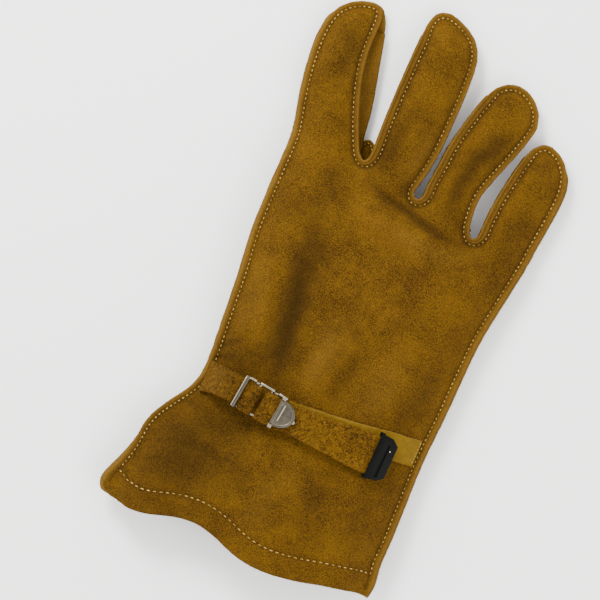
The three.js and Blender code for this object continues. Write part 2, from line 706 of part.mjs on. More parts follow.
// A strip swept through sections, each a ring of the same number of corners; caps lists the
// triangles that close an end, as corners of its ring.
function stripGeometry(rings, caps) {
  const positions = [];
  const add = (...corners) => corners.forEach((corner) => positions.push(corner.x, corner.y, corner.z));
  const size = rings[0].length;
  for (let i = 0; i + 1 < rings.length; i++) {
    for (let j = 0; j < size; j++) {
      const k = (j + 1) % size;
      add(rings[i][j], rings[i + 1][k], rings[i + 1][j]);
      add(rings[i][j], rings[i][k], rings[i + 1][k]);
    }
  }
  const last = rings.at(-1);
  for (const [i, j, k] of caps) {
    add(rings[0][i], rings[0][k], rings[0][j]);
    add(last[i], last[j], last[k]);
  }
  return weld(positions);
}
const boxCaps = [[0, 1, 2], [0, 2, 3]];
const channelCaps = [[0, 1, 6], [0, 6, 7], [1, 2, 5], [1, 5, 6], [2, 3, 4], [2, 4, 5]];

// A welt: a flat strip between the panels, whose raw edge shows outside them.
function weltGeometry(from, to) {
  const part = seam.slice(from, to + 1);
  const backNormals = inwardNormals(backLine).slice(from, to + 1);
  const palmNormals = inwardNormals(palmLine).slice(from, to + 1);
  const rings = part.map(({ back, palm }, i) => {
    const corner = (place, normal, distance, rise) =>
      place.clone().addScaledVector(normal, distance).setZ(place.z + rise);
    return [
      corner(back, backNormals[i], -weltReveal, -seamGap),
      corner(back, backNormals[i], seamAllowance, -seamGap),
      corner(palm, palmNormals[i], seamAllowance, seamGap),
      corner(palm, palmNormals[i], -weltReveal, seamGap),
    ];
  });
  return stripGeometry(rings, boxCaps);
}

// A fork: the side wall between two fingers, a channel whose lips lie under the back's edge and
// over the palm's, and whose wall stands on the stitch lines.
function forkGeometry(from, to) {
  const part = seam.slice(from, to + 1);
  const backNormals = inwardNormals(backLine).slice(from, to + 1);
  const palmNormals = inwardNormals(palmLine).slice(from, to + 1);
  const wall = seamAllowance + forkThickness;
  const rings = part.map(({ back, palm }, i) => {
    const top = (distance, drop) =>
      back.clone().addScaledVector(backNormals[i], distance).setZ(back.z - forkClearance - drop);
    const foot = (distance, rise) =>
      palm.clone().addScaledVector(palmNormals[i], distance).setZ(palm.z + forkClearance + rise);
    return [
      top(0, 0),
      top(wall, 0),
      foot(wall, 0),
      foot(0, 0),
      foot(0, forkThickness),
      foot(seamAllowance, forkThickness),
      top(seamAllowance, forkThickness),
      top(0, forkThickness),
    ];
  });
  return stripGeometry(rings, channelCaps);
}

// The three seams at the base of the middle and ring fingers leave their fronts as pieces of
// their own, joined to the palm edge to edge.
const crotches = [markAt('crotch 0'), markAt('crotch 1'), markAt('crotch 2')];
const shifted = (point, x, y) => new THREE.Vector3(point.x + x, point.y + y, 0);
function straight(from, to) {
  const steps = Math.round(from.distanceTo(to) / edgeStep);
  return Array.from({ length: steps }, (_, i) => from.clone().lerp(to, i / steps));
}
function palmOutline() {
  const before = palmLine.slice(0, crotches[0]);
  const after = palmLine.slice(crotches[2] + 1);
  const [first, middle, last] = crotches.map((place) => shifted(palmLine[place], 0, -seamGap / 2));
  const cut = [...straight(first, middle), ...straight(middle, last), last];
  return [...before, ...cut, ...after, ...palmHem].map(flat);
}
function frontOutline(order) {
  const [from, to] = [crotches[order], crotches[order + 1]];
  const start = shifted(palmLine[from], (order * seamGap) / 2, seamGap / 2);
  const end = shifted(palmLine[to], ((order - 1) * seamGap) / 2, seamGap / 2);
  return [start, ...palmLine.slice(from + 1, to), ...straight(end, start)].map(flat);
}

// The part of a closed outline on one side of a line y = level; above is 1 to keep what lies
// above it, and -1 below.
function cutOutline(outline, level, above) {
  return outline.flatMap((point, i) => {
    const next = outline[(i + 1) % outline.length];
    const kept = (point.y - level) * above > 0 ? [point] : [];
    if ((point.y - level) * (next.y - level) >= 0) return kept;
    return [...kept, point.clone().lerp(next, (level - point.y) / (next.y - point.y))];
  });
}

// Thumb: a dish that rests on the surface, and a front over its far end. The dish's rim is
// sewn under the palm round the hole, and under the front beyond it.
const thumbHole = cutOutline(beside(thumbEdge, seamAllowance, true), thumbMouthEnd, -1);
const frontEdge = cutOutline(thumbEdge, thumbMouthEnd, 1);
const dishRim = (y) => {
  const lapped = smooth(y, thumbMouthEnd - frontLap.from, thumbMouthEnd - frontLap.to);
  const underFront = (hideThickness + seamGap) * lapped;
  const rimFall = thumbStack - hideThickness - seamGap - thumbSeamHeight;
  return thumbStack - underFront - rimFall * smooth(y, thumbMouthEnd, thumbMouthEnd + thumbWidth / 2);
};
const thumbShare = (x, y) => Math.min(1, flatShare * pillow(loop(thumbEdge), thumbReach, x, y));
const dishUnder = (x, y) => lerp(dishRim(y) - hideThickness, 0, thumbShare(x, y));
const frontTop = (x, y) => lerp(dishRim(y) + seamGap + hideThickness, thumbStack, thumbShare(x, y));

// Highest place of the back under a strap that crosses it.
function highestUnder(along, shift, width) {
  const places = [-0.5, -0.25, 0, 0.25, 0.5].map((share) => shift + share * width);
  return Math.max(...places.map((y) => backTop(wristOffset + along, y)));
}

// Value of a table's column at a place along the wrist.
function columnAt(rows, column, along) {
  const share = along / (wristWidth / 2);
  const next = rows.findIndex((row) => row.along >= share);
  if (next === 0) return rows[0][column];
  if (next < 0) return rows.at(-1)[column];
  const before = rows[next - 1];
  const part = (share - before.along) / (rows[next].along - before.along);
  return lerp(before[column], rows[next][column], part);
}

// Bed of the straps: a taut line over the back, flat under the buckle.
function strapBed() {
  const half = (wristWidth / 2) * strapReach;
  const topAt = (along) => {
    const under = columnAt(runRows, 'shift', along) * pullWidth;
    const run = highestUnder(along, under, pullWidth * bedMargin);
    const width = columnAt(returnRows, 'width', along) * pullWidth;
    const over = highestUnder(along, columnAt(returnRows, 'shift', along) * pullWidth, width);
    return Math.max(run, over - strapThickness);
  };
  const places = Array.from({ length: bedSteps + 1 }, (_, i) => lerp(-half, half, i / bedSteps));
  const points = places.map((along) => new THREE.Vector2(along, topAt(along)));
  const onBuckle = points.filter((point) => Math.abs(point.x + buckleAlong) < buckleLength / 2 + edgeStep);
  const buckleTop = Math.max(...onBuckle.map((point) => point.y));
  for (const point of onBuckle) point.y = buckleTop;
  const taut = [];
  for (const point of points) {
    while (taut.length > 1) {
      const before = taut.at(-2);
      const last = taut.at(-1);
      const turn = last.clone().sub(before).cross(point.clone().sub(before));
      if (turn < 0) break;
      taut.pop();
    }
    taut.push(point);
  }
  return taut;
}
const bed = strapBed();
function bedAt(along) {
  const next = Math.max(1, bed.findIndex((point) => point.x >= along));
  const after = bed[next];
  const before = bed[next - 1];
  const slope = (after.y - before.y) / (after.x - before.x);
  return { height: before.y + slope * (along - before.x), slope };
}

// Heights of the strap layers above their bed, to the middle of the leather.
const layer = strapThickness + seamGap;
const runHeight = strapClearance + strapThickness / 2;
const foldRadius = wireThickness / 2 + foldClearance + strapThickness / 2;
const barHeight = runHeight + foldRadius;
const overBars = runHeight + 2 * foldRadius;
const overRun = runHeight + layer;
const inKeeper = overRun + keeperWall + strapClearance;

// Place on the straps: along the wrist, across a strap, and above the bed.
function strapPlace(rows, width, { along, height }) {
  const { height: ground, slope } = bedAt(along);
  const turn = radians(columnAt(rows, 'turn', along) * buckleTurn);
  const tilt = Math.atan(slope);
  const axis = new THREE.Vector3(Math.cos(turn), Math.sin(turn), 0);
  const centre = new THREE.Vector3(wristOffset + along, columnAt(rows, 'shift', along) * width, ground);
  centre.addScaledVector(axis, -Math.sin(tilt) * height).setZ(ground + Math.cos(tilt) * height);
  const across = new THREE.Vector3(-Math.sin(turn), Math.cos(turn), 0);
  return { centre, across, half: (columnAt(rows, 'width', along) * width) / 2 };
}

// A strap swept through its places; its thickness lies across its path.
function strapGeometry(places) {
  const rings = places.map(({ centre, across, half }, i) => {
    const before = places[Math.max(i - 1, 0)].centre;
    const after = places[Math.min(i + 1, places.length - 1)].centre;
    const normal = after.clone().sub(before).cross(across).normalize();
    const corner = (up, left) =>
      centre
        .clone()
        .addScaledVector(normal, (up * strapThickness) / 2)
        .addScaledVector(across, left * half);
    return [corner(1, 1), corner(1, -1), corner(-1, -1), corner(-1, 1)];
  });
  return stripGeometry(rings, boxCaps);
}

// Steps of a strap along a run, at most strapStep apart and with one on each bend of its bed.
function runSteps(from, to, heightAt) {
  const low = Math.min(from, to);
  const high = Math.max(from, to);
  const steps = Math.ceil((high - low) / strapStep);
  const bends = bed.map((point) => point.x).filter((x) => x > low + bendClear && x < high - bendClear);
  const even = Array.from({ length: steps + 1 }, (_, i) => lerp(low, high, i / steps));
  const offBends = (x) => bends.every((bend) => Math.abs(bend - x) > bendClear);
  const spaced = even.filter((x) => x === low || x === high || offBends(x));
  const sorted = [...spaced, ...bends].sort((a, b) => a - b);
  const ordered = from < to ? sorted : sorted.reverse();
  return ordered.map((along) => ({ along, height: heightAt(along) }));
}

// Half a turn round a bar, from one layer to the other. out is where the fold bulges along the
// wrist, and up is the layer that it ends on.
function foldSteps(barAlong, out, up) {
  return Array.from({ length: foldTurns - 1 }, (_, i) => {
    const angle = ((i + 1) * Math.PI) / foldTurns;
    return {
      along: barAlong + out * foldRadius * Math.sin(angle),
      height: barHeight - up * foldRadius * Math.cos(angle),
    };
  });
}

const tabBar = -buckleAlong - barSpacing / 2;
const pullBar = -buckleAlong + barSpacing / 2;
const wristEnd = (wristWidth / 2) * strapReach;

function tabGeometry() {
  const tailEnd = tabBar - tabTail;
  const over = (along) => {
    if (along > tabBar - barSpacing) return overBars;
    if (along > tailEnd) return lerp(overRun, overBars, smooth(along, tailEnd, tabBar - barSpacing));
    return lerp(runHeight, overRun, smooth(along, tailEnd - tabTail / 2, tailEnd - seamGap));
  };
  const steps = [
    ...runSteps(-wristEnd, tabBar, over),
    ...foldSteps(tabBar, 1, -1),
    ...runSteps(tabBar, tailEnd, () => runHeight),
  ];
  return strapGeometry(steps.map((step) => strapPlace(tabRows, tabWidth, step)));
}

function pullGeometry() {
  const leverEnd = pullBar + leverLength + barSpacing;
  const keeperStart = keeperAlong - keeperLength / 2;
  const over = (along) => {
    const offBars = lerp(overBars, overRun, smooth(along, leverEnd, leverEnd + leverLength));
    return lerp(offBars, inKeeper, smooth(along, keeperStart - keeperLength, keeperStart));
  };
  const run = [...runSteps(wristEnd, pullBar, () => runHeight), ...foldSteps(pullBar, -1, 1)];
  const end = keeperAlong + keeperLength / 2 - 2 * keeperWall;
  const runPlaces = run.map((step) => strapPlace(runRows, pullWidth, step));
  const overPlaces = runSteps(pullBar, end, over).map((step) => strapPlace(returnRows, pullWidth, step));
  return strapGeometry([...runPlaces, ...overPlaces]);
}

// Solids for the joins and cuts of the hard pieces.
const wasm = await Module();
wasm.setup();
function solid(geometry, x = 0, y = 0, z = 0) {
  const bare = geometry.clone().translate(x, y, z);
  bare.deleteAttribute('normal');
  bare.deleteAttribute('uv');
  const merged = mergeVertices(bare, weldTolerance);
  const mesh = new wasm.Mesh({
    numProp: 3,
    vertProperties: new Float32Array(merged.attributes.position.array),
    triVerts: new Uint32Array(merged.index.array),
  });
  return new wasm.Manifold(mesh);
}
function geometryOf(manifold) {
  const mesh = manifold.getMesh();
  const geometry = new THREE.BufferGeometry();
  geometry.setAttribute('position', new THREE.BufferAttribute(mesh.vertProperties, 3));
  geometry.setIndex(new THREE.BufferAttribute(mesh.triVerts, 1));
  geometry.computeVertexNormals();
  return geometry;
}
const block = (from, to) =>
  solid(
    new THREE.BoxGeometry(to[0] - from[0], to[1] - from[1], to[2] - from[2]),
    (from[0] + to[0]) / 2,
    (from[1] + to[1]) / 2,
    (from[2] + to[2]) / 2,
  );

// Buckle frame: two stepped rails, two bars that the straps fold round, and a flat bar over the
// tab. x runs along the strap from the buckle's middle, and z up from the strap's bed.
const railInner = pullWidth / 2 + strapClearance;
const railOuter = railInner + railWidth;
const railFoot = barHeight - wireThickness / 2;
const plateUnder = overBars + strapThickness / 2 + seamGap;
const railTop = plateUnder - seamGap;
function frameGeometry() {
  const rails = [-1, 1].flatMap((side) =>
    railRows.map((row) => {
      const inner = railInner + row.out * railStep;
      const [low, high] = side > 0 ? [inner, inner + railWidth] : [-inner - railWidth, -inner];
      const from = [row.from * buckleLength, low, railFoot];
      return block(from, [row.to * buckleLength, high, lerp(railFoot + wireThickness, railTop, row.top)]);
    }),
  );
  const bars = [-1, 1].map((side) => {
    const bar = new THREE.CylinderGeometry(wireThickness / 2, wireThickness / 2, 2 * railOuter, 8);
    return solid(bar, (side * barSpacing) / 2, 0, barHeight);
  });
  const overBar = plateUnder + wireThickness;
  const left = -buckleLength / 2;
  const right = left + barWidth;
  const topBar = block([left, -railOuter, plateUnder], [right, railOuter, overBar]);
  const posts = [-1, 1].map((side) => {
    const [low, high] = side > 0 ? [railInner, railOuter] : [-railOuter, -railInner];
    return block([left, low, railFoot], [right, high, overBar]);
  });
  return geometryOf([...rails, ...bars, ...posts].reduce((sum, piece) => sum.add(piece), topBar));
}

// Buckle plate: a D-shaped lever that lies on the strap, with two ears on the rails.
function plateGeometry() {
  const start = leverStart;
  const half = railInner - strapClearance;
  const shape = new THREE.Shape();
  shape.moveTo(start, -railOuter);
  shape.lineTo(start + leverEar, -railOuter);
  shape.lineTo(start + leverEar, -half);
  const end = start + leverLength;
  const round = start + leverLength * leverRound.along;
  const handle = half * leverRound.across;
  shape.bezierCurveTo(round, -half, end, -handle, end, 0);
  shape.bezierCurveTo(end, handle, round, half, start + leverEar, half);
  shape.lineTo(start + leverEar, railOuter);
  shape.lineTo(start, railOuter);
  shape.closePath();
  const cut = { depth: plateThickness, bevelEnabled: false, curveSegments: 8 };
  const plate = new THREE.ExtrudeGeometry(shape, cut);
  const nib = block(
    [end - nibReach, -nibWidth / 2, plateUnder + seamGap],
    [end + nibReach, nibWidth / 2, plateUnder + plateThickness],
  );
  return geometryOf(solid(plate, 0, 0, plateUnder + seamGap / 2).add(nib));
}

// Keeper: a sleeve closed at its outer end, which the strap's end is fastened into.
const keeperPocket = [
  (columnAt(returnRows, 'width', keeperAlong) * pullWidth) / 2 + strapClearance,
  strapThickness / 2 + strapClearance,
];
function keeperGeometry() {
  const [half, tall] = keeperPocket;
  const end = keeperLength / 2;
  const wide = half + keeperWall;
  const thick = tall + keeperWall;
  const outer = block([-end, -wide, -thick], [end, wide, thick]);
  const pocket = block([-end - cutMargin, -half, -tall], [end - keeperWall, half, tall]);
  return geometryOf(outer.subtract(pocket));
}

// A hard piece stands at its place along the straps, turned and tilted as the strap is there.
function seated(geometry, rows, width, along, height) {
  const { centre, across } = strapPlace(rows, width, { along, height });
  const ahead = strapPlace(rows, width, { along: along + turnProbe, height }).centre;
  const behind = strapPlace(rows, width, { along: along - turnProbe, height }).centre;
  const normal = ahead.sub(behind).cross(across).normalize();
  const axis = across.clone().cross(normal);
  const basis = new THREE.Matrix4().makeBasis(axis, across, normal);
  return geometry.applyMatrix4(basis.setPosition(centre));
}

const finishes = {
  suede: { color: 0x7f5a1a, roughness: 0.95, metalness: 0 },
  smoothLeather: { color: 0xa07d2d, roughness: 0.6, metalness: 0 },
  rawEdge: { color: 0xa98a45, roughness: 0.9, metalness: 0 },
  steel: { color: 0x7c776d, roughness: 0.35, metalness: 1 },
  blackMetal: { color: 0x20221c, roughness: 0.5, metalness: 0.3 },
};
const group = new THREE.Group();
function addPiece(name, geometry, finish) {
  const mesh = new THREE.Mesh(geometry, new THREE.MeshStandardMaterial(finishes[finish]));
  mesh.name = name;
  group.add(mesh);
}

const stitchGuides = (line) =>
  [seamAllowance, seamAllowance + crownOffset].flatMap((distance) => beside(line, distance));
const hemGuides = (hem) => beside(hem, hemDepth - hemEase);
addPiece(
  'back_panel',
  sheetGeometry({
    outline: [...backLine, ...backHem].map(flat),
    guides: [...stitchGuides(backLine), ...hemGuides(backHem)],
    height: backTop,
    side: 1,
    thickness: hideAt(backLine, backHem),
  }),
  'suede',
);
const palmSheet = { height: palmUnder, side: -1, guides: beside(palmLine, seamAllowance) };
addPiece(
  'palm_panel',
  sheetGeometry({
    ...palmSheet,
    outline: palmOutline(),
    holes: [thumbHole],
    guides: [...palmSheet.guides, ...beside(thumbEdge, -liftStart, true), ...hemGuides(palmHem)],
    thickness: hideAt(palmLine, palmHem),
  }),
  'suede',
);
addPiece('middle_finger_front', sheetGeometry({ ...palmSheet, outline: frontOutline(0) }), 'suede');
addPiece('ring_finger_front', sheetGeometry({ ...palmSheet, outline: frontOutline(1) }), 'suede');
addPiece('fork_index_middle', forkGeometry(markAt('index right'), markAt('middle left')), 'suede');
addPiece('fork_middle_ring', forkGeometry(markAt('middle right'), markAt('ring left')), 'suede');
addPiece('fork_ring_little', forkGeometry(markAt('ring right'), markAt('little left')), 'suede');
addPiece('index_side_welt', weltGeometry(0, markAt('index left')), 'rawEdge');
addPiece('little_side_welt', weltGeometry(markAt('little right'), seam.length - 1), 'rawEdge');
const thumbGuides = beside(thumbEdge, seamAllowance, true);
addPiece(
  'thumb_back',
  sheetGeometry({ outline: thumbEdge, guides: thumbGuides, height: dishUnder, side: -1 }),
  'suede',
);
addPiece(
  'thumb_front',
  sheetGeometry({ outline: frontEdge, guides: thumbGuides, height: frontTop, side: 1 }),
  'suede',
);
addPiece('buckle_tab', tabGeometry(), 'suede');
addPiece('pull_strap', pullGeometry(), 'smoothLeather');
addPiece('buckle_frame', seated(frameGeometry(), tabRows, tabWidth, -buckleAlong, 0), 'steel');
addPiece('buckle_plate', seated(plateGeometry(), tabRows, tabWidth, -buckleAlong, 0), 'steel');
const keeper = seated(keeperGeometry(), returnRows, pullWidth, keeperAlong, inKeeper);
addPiece('strap_keeper', keeper, 'blackMetal');

// The origin is at the middle of the footprint, on the surface that the glove rests on.
const box = new THREE.Box3().setFromObject(group);
group.position.set(-(box.min.x + box.max.x) / 2, -(box.min.y + box.max.y) / 2, -box.min.z);

export default group;
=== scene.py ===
# A firefighter's work glove in split cowhide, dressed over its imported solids: napped leather with
# welted seams, thread, a wrist strap, a stamped buckle and a black keeper, on a pale floor.
import math

import bmesh
import bpy
import numpy as np
from mathutils import Matrix, Vector, geometry, noise
from mathutils.bvhtree import BVHTree
from mathutils.kdtree import KDTree


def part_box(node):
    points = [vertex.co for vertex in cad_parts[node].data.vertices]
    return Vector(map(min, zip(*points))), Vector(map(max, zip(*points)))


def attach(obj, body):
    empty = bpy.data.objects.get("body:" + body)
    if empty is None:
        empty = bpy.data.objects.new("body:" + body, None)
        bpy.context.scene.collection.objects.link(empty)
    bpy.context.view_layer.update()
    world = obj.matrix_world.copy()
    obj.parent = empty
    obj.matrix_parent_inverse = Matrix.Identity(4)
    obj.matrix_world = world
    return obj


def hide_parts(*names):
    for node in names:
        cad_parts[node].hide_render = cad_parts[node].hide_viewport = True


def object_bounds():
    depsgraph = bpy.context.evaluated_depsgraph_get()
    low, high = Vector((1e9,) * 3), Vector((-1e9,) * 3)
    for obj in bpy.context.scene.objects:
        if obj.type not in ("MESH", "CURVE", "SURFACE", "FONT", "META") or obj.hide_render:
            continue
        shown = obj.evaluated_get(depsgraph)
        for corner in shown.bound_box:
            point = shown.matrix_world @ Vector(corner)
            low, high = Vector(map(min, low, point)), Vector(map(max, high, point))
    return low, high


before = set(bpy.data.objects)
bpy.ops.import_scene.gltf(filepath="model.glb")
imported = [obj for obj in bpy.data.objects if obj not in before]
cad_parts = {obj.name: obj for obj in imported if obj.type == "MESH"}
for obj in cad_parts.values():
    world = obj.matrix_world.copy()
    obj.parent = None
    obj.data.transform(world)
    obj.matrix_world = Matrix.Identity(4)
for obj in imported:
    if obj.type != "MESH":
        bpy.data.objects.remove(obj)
cad_low, cad_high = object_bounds()

bl_info = {
    "name": "Firefighter glove",
    "version": (1, 0, 0),
    "blender": (4, 5, 0),
    "location": "View3D > Sidebar > Glove",
    "description": "Builds a suede work glove with a buckled wrist strap",
    "category": "Object",
}

MM = 0.001  # metres in a millimetre; the shapes below are worked out in millimetres


def length(title, description, millimetres):
    """A setting for a length."""
    default = millimetres * MM
    return bpy.props.FloatProperty(name=title, description=description, default=default, unit="LENGTH")


def tint(title, description, value):
    """A setting for a colour, as an sRGB hex value."""
    return bpy.props.StringProperty(name=title, description=description, default=value)


class GLOVE_PG_leather(bpy.types.PropertyGroup):
    """Sizes of the hide and of its seams."""

    thickness: length("Hide thickness", "Of one layer", 1.6)
    seam_allowance: length("Seam allowance", "Flat edge outside the stitches", 3.1)
    hem_depth: length("Hem depth", "Turned edge of the cuff", 12.5)
    step: length("Surface step", "Between points of a face", 1.35)
    seam_step: length("Seam step", "Between points of a face near its seams", 0.75)
    inner_step: length("Inner surface step", "Between points of an inner face", 3.4)
    pucker: length("Pucker", "Height of the puckers along a seam", 0.4)


class GLOVE_PG_thread(bpy.types.PropertyGroup):
    """Sizes of the thread and its stitches."""

    diameter: length("Diameter", "Of the sewing thread", 0.54)
    pitch: length("Pitch", "From one stitch of a seam to the next", 2.4)
    hem_pitch: length("Hem pitch", "From one stitch of the hem to the next", 3.2)


class GLOVE_PG_colours(bpy.types.PropertyGroup):
    """Colours of the finishes."""

    suede: tint("Suede", "Lit nap", "#583D0C")
    suede_dark: tint("Suede, dark", "Nap laid away", "#261703")
    # painted shade: the colour that the nap is darkened to in folds and grooves
    suede_painted_shade: tint("Suede, folds", "Nap in a fold", "#150C02")
    suede_sheen: tint("Suede, sheen", "Light caught by the tips of the nap", "#C89038")
    raw_edge: tint("Raw edge", "Cut leather", "#65491A")
    raw_edge_dark: tint("Raw edge, dark", "Between the fibres of cut leather", "#54401A")
    tan: tint("Tan", "Smooth strap leather", "#5E470C")
    tan_dark: tint("Tan, dark", "Creases of the strap leather", "#513D09")
    thread: tint("Thread", "Waxed thread", "#A68A48")
    thread_soiled: tint("Thread, soiled", "Thread that the hide has darkened", "#6A5224")
    steel: tint("Steel", "Satin nickel plate", "#5C564A")
    # painted highlight: a brighter copy of the steel, for the rails, bars, lip, ridge, nib, ears and rivet
    highlight_steel: tint("Steel, worn", "Edges worn bright", "#8F8776")
    keeper: tint("Keeper", "Black enamel", "#060705")
    board: tint("Board", "What the glove lies on", "#F4F3F1")


class GLOVE_PG_stage(bpy.types.PropertyGroup):
    """Camera and light."""

    view_width: length("View width", "Width that the picture takes in", 300)
    view_turn: bpy.props.FloatProperty(
        name="View turn",
        description="Of the picture about the upright",
        default=math.radians(22),
        subtype="ANGLE",
    )
    lens: bpy.props.FloatProperty(name="Lens", description="Focal length in millimetres", default=250)


def linear(hex_colour):
    """Linear colour of an sRGB hex value."""
    parts = [int(hex_colour[i : i + 2], 16) / 255 for i in (1, 3, 5)]
    return (*[c / 12.92 if c < 0.04045 else ((c + 0.055) / 1.055) ** 2.4 for c in parts], 1.0)


def smooth(value, low, high):
    """0 below low, 1 above high and a smooth rise between them."""
    share = np.clip((value - low) / (high - low), 0, 1)
    return share * share * (3 - 2 * share)


def bell(value, width):
    """1 at 0, falling off within about the width."""
    return np.exp(-((value / width) ** 2))


def wobble(points, size, seed):
    """Smooth noise from about -1 to 1 at each point, with lumps of about that size."""
    shift = Vector((seed * 17.3, seed * 5.1, seed * 9.7))
    columns = np.zeros((len(points), 3))
    columns[:, : points.shape[1]] = points / size
    return np.array([noise.noise(Vector(place) + shift) for place in columns])


def unit(vectors):
    """The vectors with a length of 1."""
    return vectors / np.maximum(np.linalg.norm(vectors, axis=-1, keepdims=True), 1e-12)


# Reading a CAD node's faces


def node_mesh(name):
    """Places, in millimetres, and triangles of a CAD node, with equal places merged."""
    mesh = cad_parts[name].data
    mesh.calc_loop_triangles()
    corners = np.array([triangle.vertices[:] for triangle in mesh.loop_triangles])
    places = np.array([vertex.co[:] for vertex in mesh.vertices])
    places, order = np.unique(np.round(places / MM, 4), axis=0, return_inverse=True)
    triangles = order.reshape(-1)[corners]
    whole = (np.diff(np.sort(triangles, axis=1), axis=1) > 0).all(axis=1)
    return places, triangles[whole]


def face_vectors(places, triangles):
    """A vector out of each triangle, twice as long as its area."""
    a, b, c = (places[triangles[:, i]] for i in range(3))
    return np.cross(b - a, c - a)


SHARPEST_FOLD = math.cos(math.radians(68))  # inside one face of a sheet; its rim is sharper


def outer_face(places, triangles, side):
    """Triangles of a sheet's outer face: all that its highest (side 1) or lowest (side -1)
    triangle is joined to without a sharp edge."""
    normals = unit(face_vectors(places, triangles))
    across = {}
    for face, corners in enumerate(triangles):
        for i in range(3):
            edge = tuple(sorted((corners[i], corners[(i + 1) % 3])))
            across.setdefault(edge, []).append(face)
    neighbours = [[] for _ in triangles]
    for pair in across.values():
        if len(pair) == 2 and normals[pair[0]] @ normals[pair[1]] > SHARPEST_FOLD:
            neighbours[pair[0]].append(pair[1])
            neighbours[pair[1]].append(pair[0])
    heights = places[triangles].mean(axis=1)[:, 2] * side
    heights[normals[:, 2] * side < 0.5] = -1e9
    reached = {int(heights.argmax())}
    waiting = list(reached)
    while waiting:
        for face in neighbours[waiting.pop()]:
            if face not in reached:
                reached.add(face)
                waiting.append(face)
    return triangles[sorted(reached)]


def rims_of(places, triangles):
    """Closed lines round a face, the longest first, as places."""
    after = {}
    edges = {(a, b) for t in triangles.tolist() for a, b in zip(t, t[1:] + t[:1])}
    for a, b in edges:
        if (b, a) not in edges:
            after[a] = b
    rims = []
    while after:
        start, here = after.popitem()
        rim = [start]
        while here != start:
            rim.append(here)
            here = after.pop(here)
        rims.append(places[rim])
    return sorted(rims, key=lambda rim: along_line(rim, True)[-1], reverse=True)


# Lines


def along_line(line, closed):
    """Length along a line up to each of its points."""
    steps = np.linalg.norm(np.diff(line, axis=0), axis=1)
    lengths = np.concatenate([[0], np.cumsum(steps)])
    return np.append(lengths, lengths[-1] + np.linalg.norm(line[0] - line[-1])) if closed else lengths


def evened(line, step, closed=True):
    """The line with its points that far apart."""
    lengths = along_line(line, closed)
    whole = np.vstack([line, line[:1]]) if closed else line
    count = max(3, round(lengths[-1] / step))
    places = np.linspace(0, lengths[-1], count + 1)[: count if closed else None]
    return np.stack([np.interp(places, lengths, column) for column in whole.T], axis=1)


FINE_STEP = 0.4  # between the points of a rounded line


def kernel(blur, step):
    """Weights of a soft blur over points that far apart, and how many it reaches to either side."""
    reach = int(3 * blur / step) + 1
    weights = bell(np.arange(-reach, reach + 1) * step, blur * math.sqrt(2))
    return weights / weights.sum(), reach


def rounded(line, blur, closed=True):
    """The line at even fine steps, with its corners rounded by about that much."""
    fine = evened(line, FINE_STEP, closed)
    weights, reach = kernel(blur, FINE_STEP)
    if closed:
        padded = np.vstack([fine[-reach:], fine, fine[:reach]])
    else:
        before = 2 * fine[0] - fine[reach:0:-1]
        padded = np.vstack([before, fine, 2 * fine[-1] - fine[-2 : -reach - 2 : -1]])
    return np.stack([np.convolve(column, weights, "valid") for column in padded.T], axis=1)


def averaged(values, reach):
    """Values round a closed line, averaged over that many to either side."""
    count = 2 * reach + 1
    return np.convolve(np.pad(values, reach, mode="wrap"), np.full(count, 1 / count), "valid")


def left_normals(line, closed=True):
    """Unit vectors in the plan, to the left of a line."""
    if closed:
        tangents = np.roll(line, -1, axis=0) - np.roll(line, 1, axis=0)
    else:
        tangents = np.gradient(line, axis=0)
    tangents = unit(tangents[:, :2])
    return np.stack([-tangents[:, 1], tangents[:, 0]], axis=1)


def plan_tree(points):
    """Finder of the nearest of the points in the plan."""
    tree = KDTree(len(points))
    for i, place in enumerate(points):
        tree.insert((place[0], place[1], 0), i)
    tree.balance()
    return tree


def away_from(tree, points):
    """Distance in the plan from each place to the nearest point of the tree."""
    return np.array([tree.find((x, y, 0))[2] for x, y in points[:, :2]])


class Rim:
    """A closed line round a face, with the face on its left."""

    def __init__(self, line, blur, turn):
        line = rounded(line, blur)
        x, y = line[:, 0], line[:, 1]
        area = (x * np.roll(y, -1) - y * np.roll(x, -1)).sum() / 2
        self.line = line if area * turn > 0 else line[::-1].copy()
        self.widen(0.0)

    def widen(self, amounts):
        """Moves the line out of the face by the amount at each point."""
        self.line[:, :2] -= left_normals(self.line) * np.reshape(amounts, (-1, 1))
        self.normals = left_normals(self.line)
        self.tree = plan_tree(self.line)

    def nearest(self, points):
        """For places in the plan: the distance into the face, and the nearest point of the line."""
        found = [self.tree.find((x, y, 0)) for x, y in points[:, :2]]
        index = np.array([f[1] for f in found])
        away = points[:, :2] - self.line[index, :2]
        inwards = (away * self.normals[index]).sum(axis=1)
        return np.array([f[2] for f in found]) * np.where(inwards < 0, -1, 1), index


# A sheet of leather


def hem_corners(line):
    """Indices of the cuff's corners, on the index side and on the little-finger side."""
    x, y = line[:, 0], line[:, 1]
    return int((x + y).argmin()), int((x - y).argmax())


def hem_span(line):
    """The hem, from the index corner to the little-finger corner, of a rim that has the panel on
    its left."""
    left, right = hem_corners(line)
    return line[left : right + 1] if left < right else np.vstack([line[left:], line[: right + 1]])


def sewn_share(line):
    """1 along the sewn part of a panel's rim and 0 along its hem."""
    return smooth(away_from(plan_tree(hem_span(line)), line), 0.5, 4)


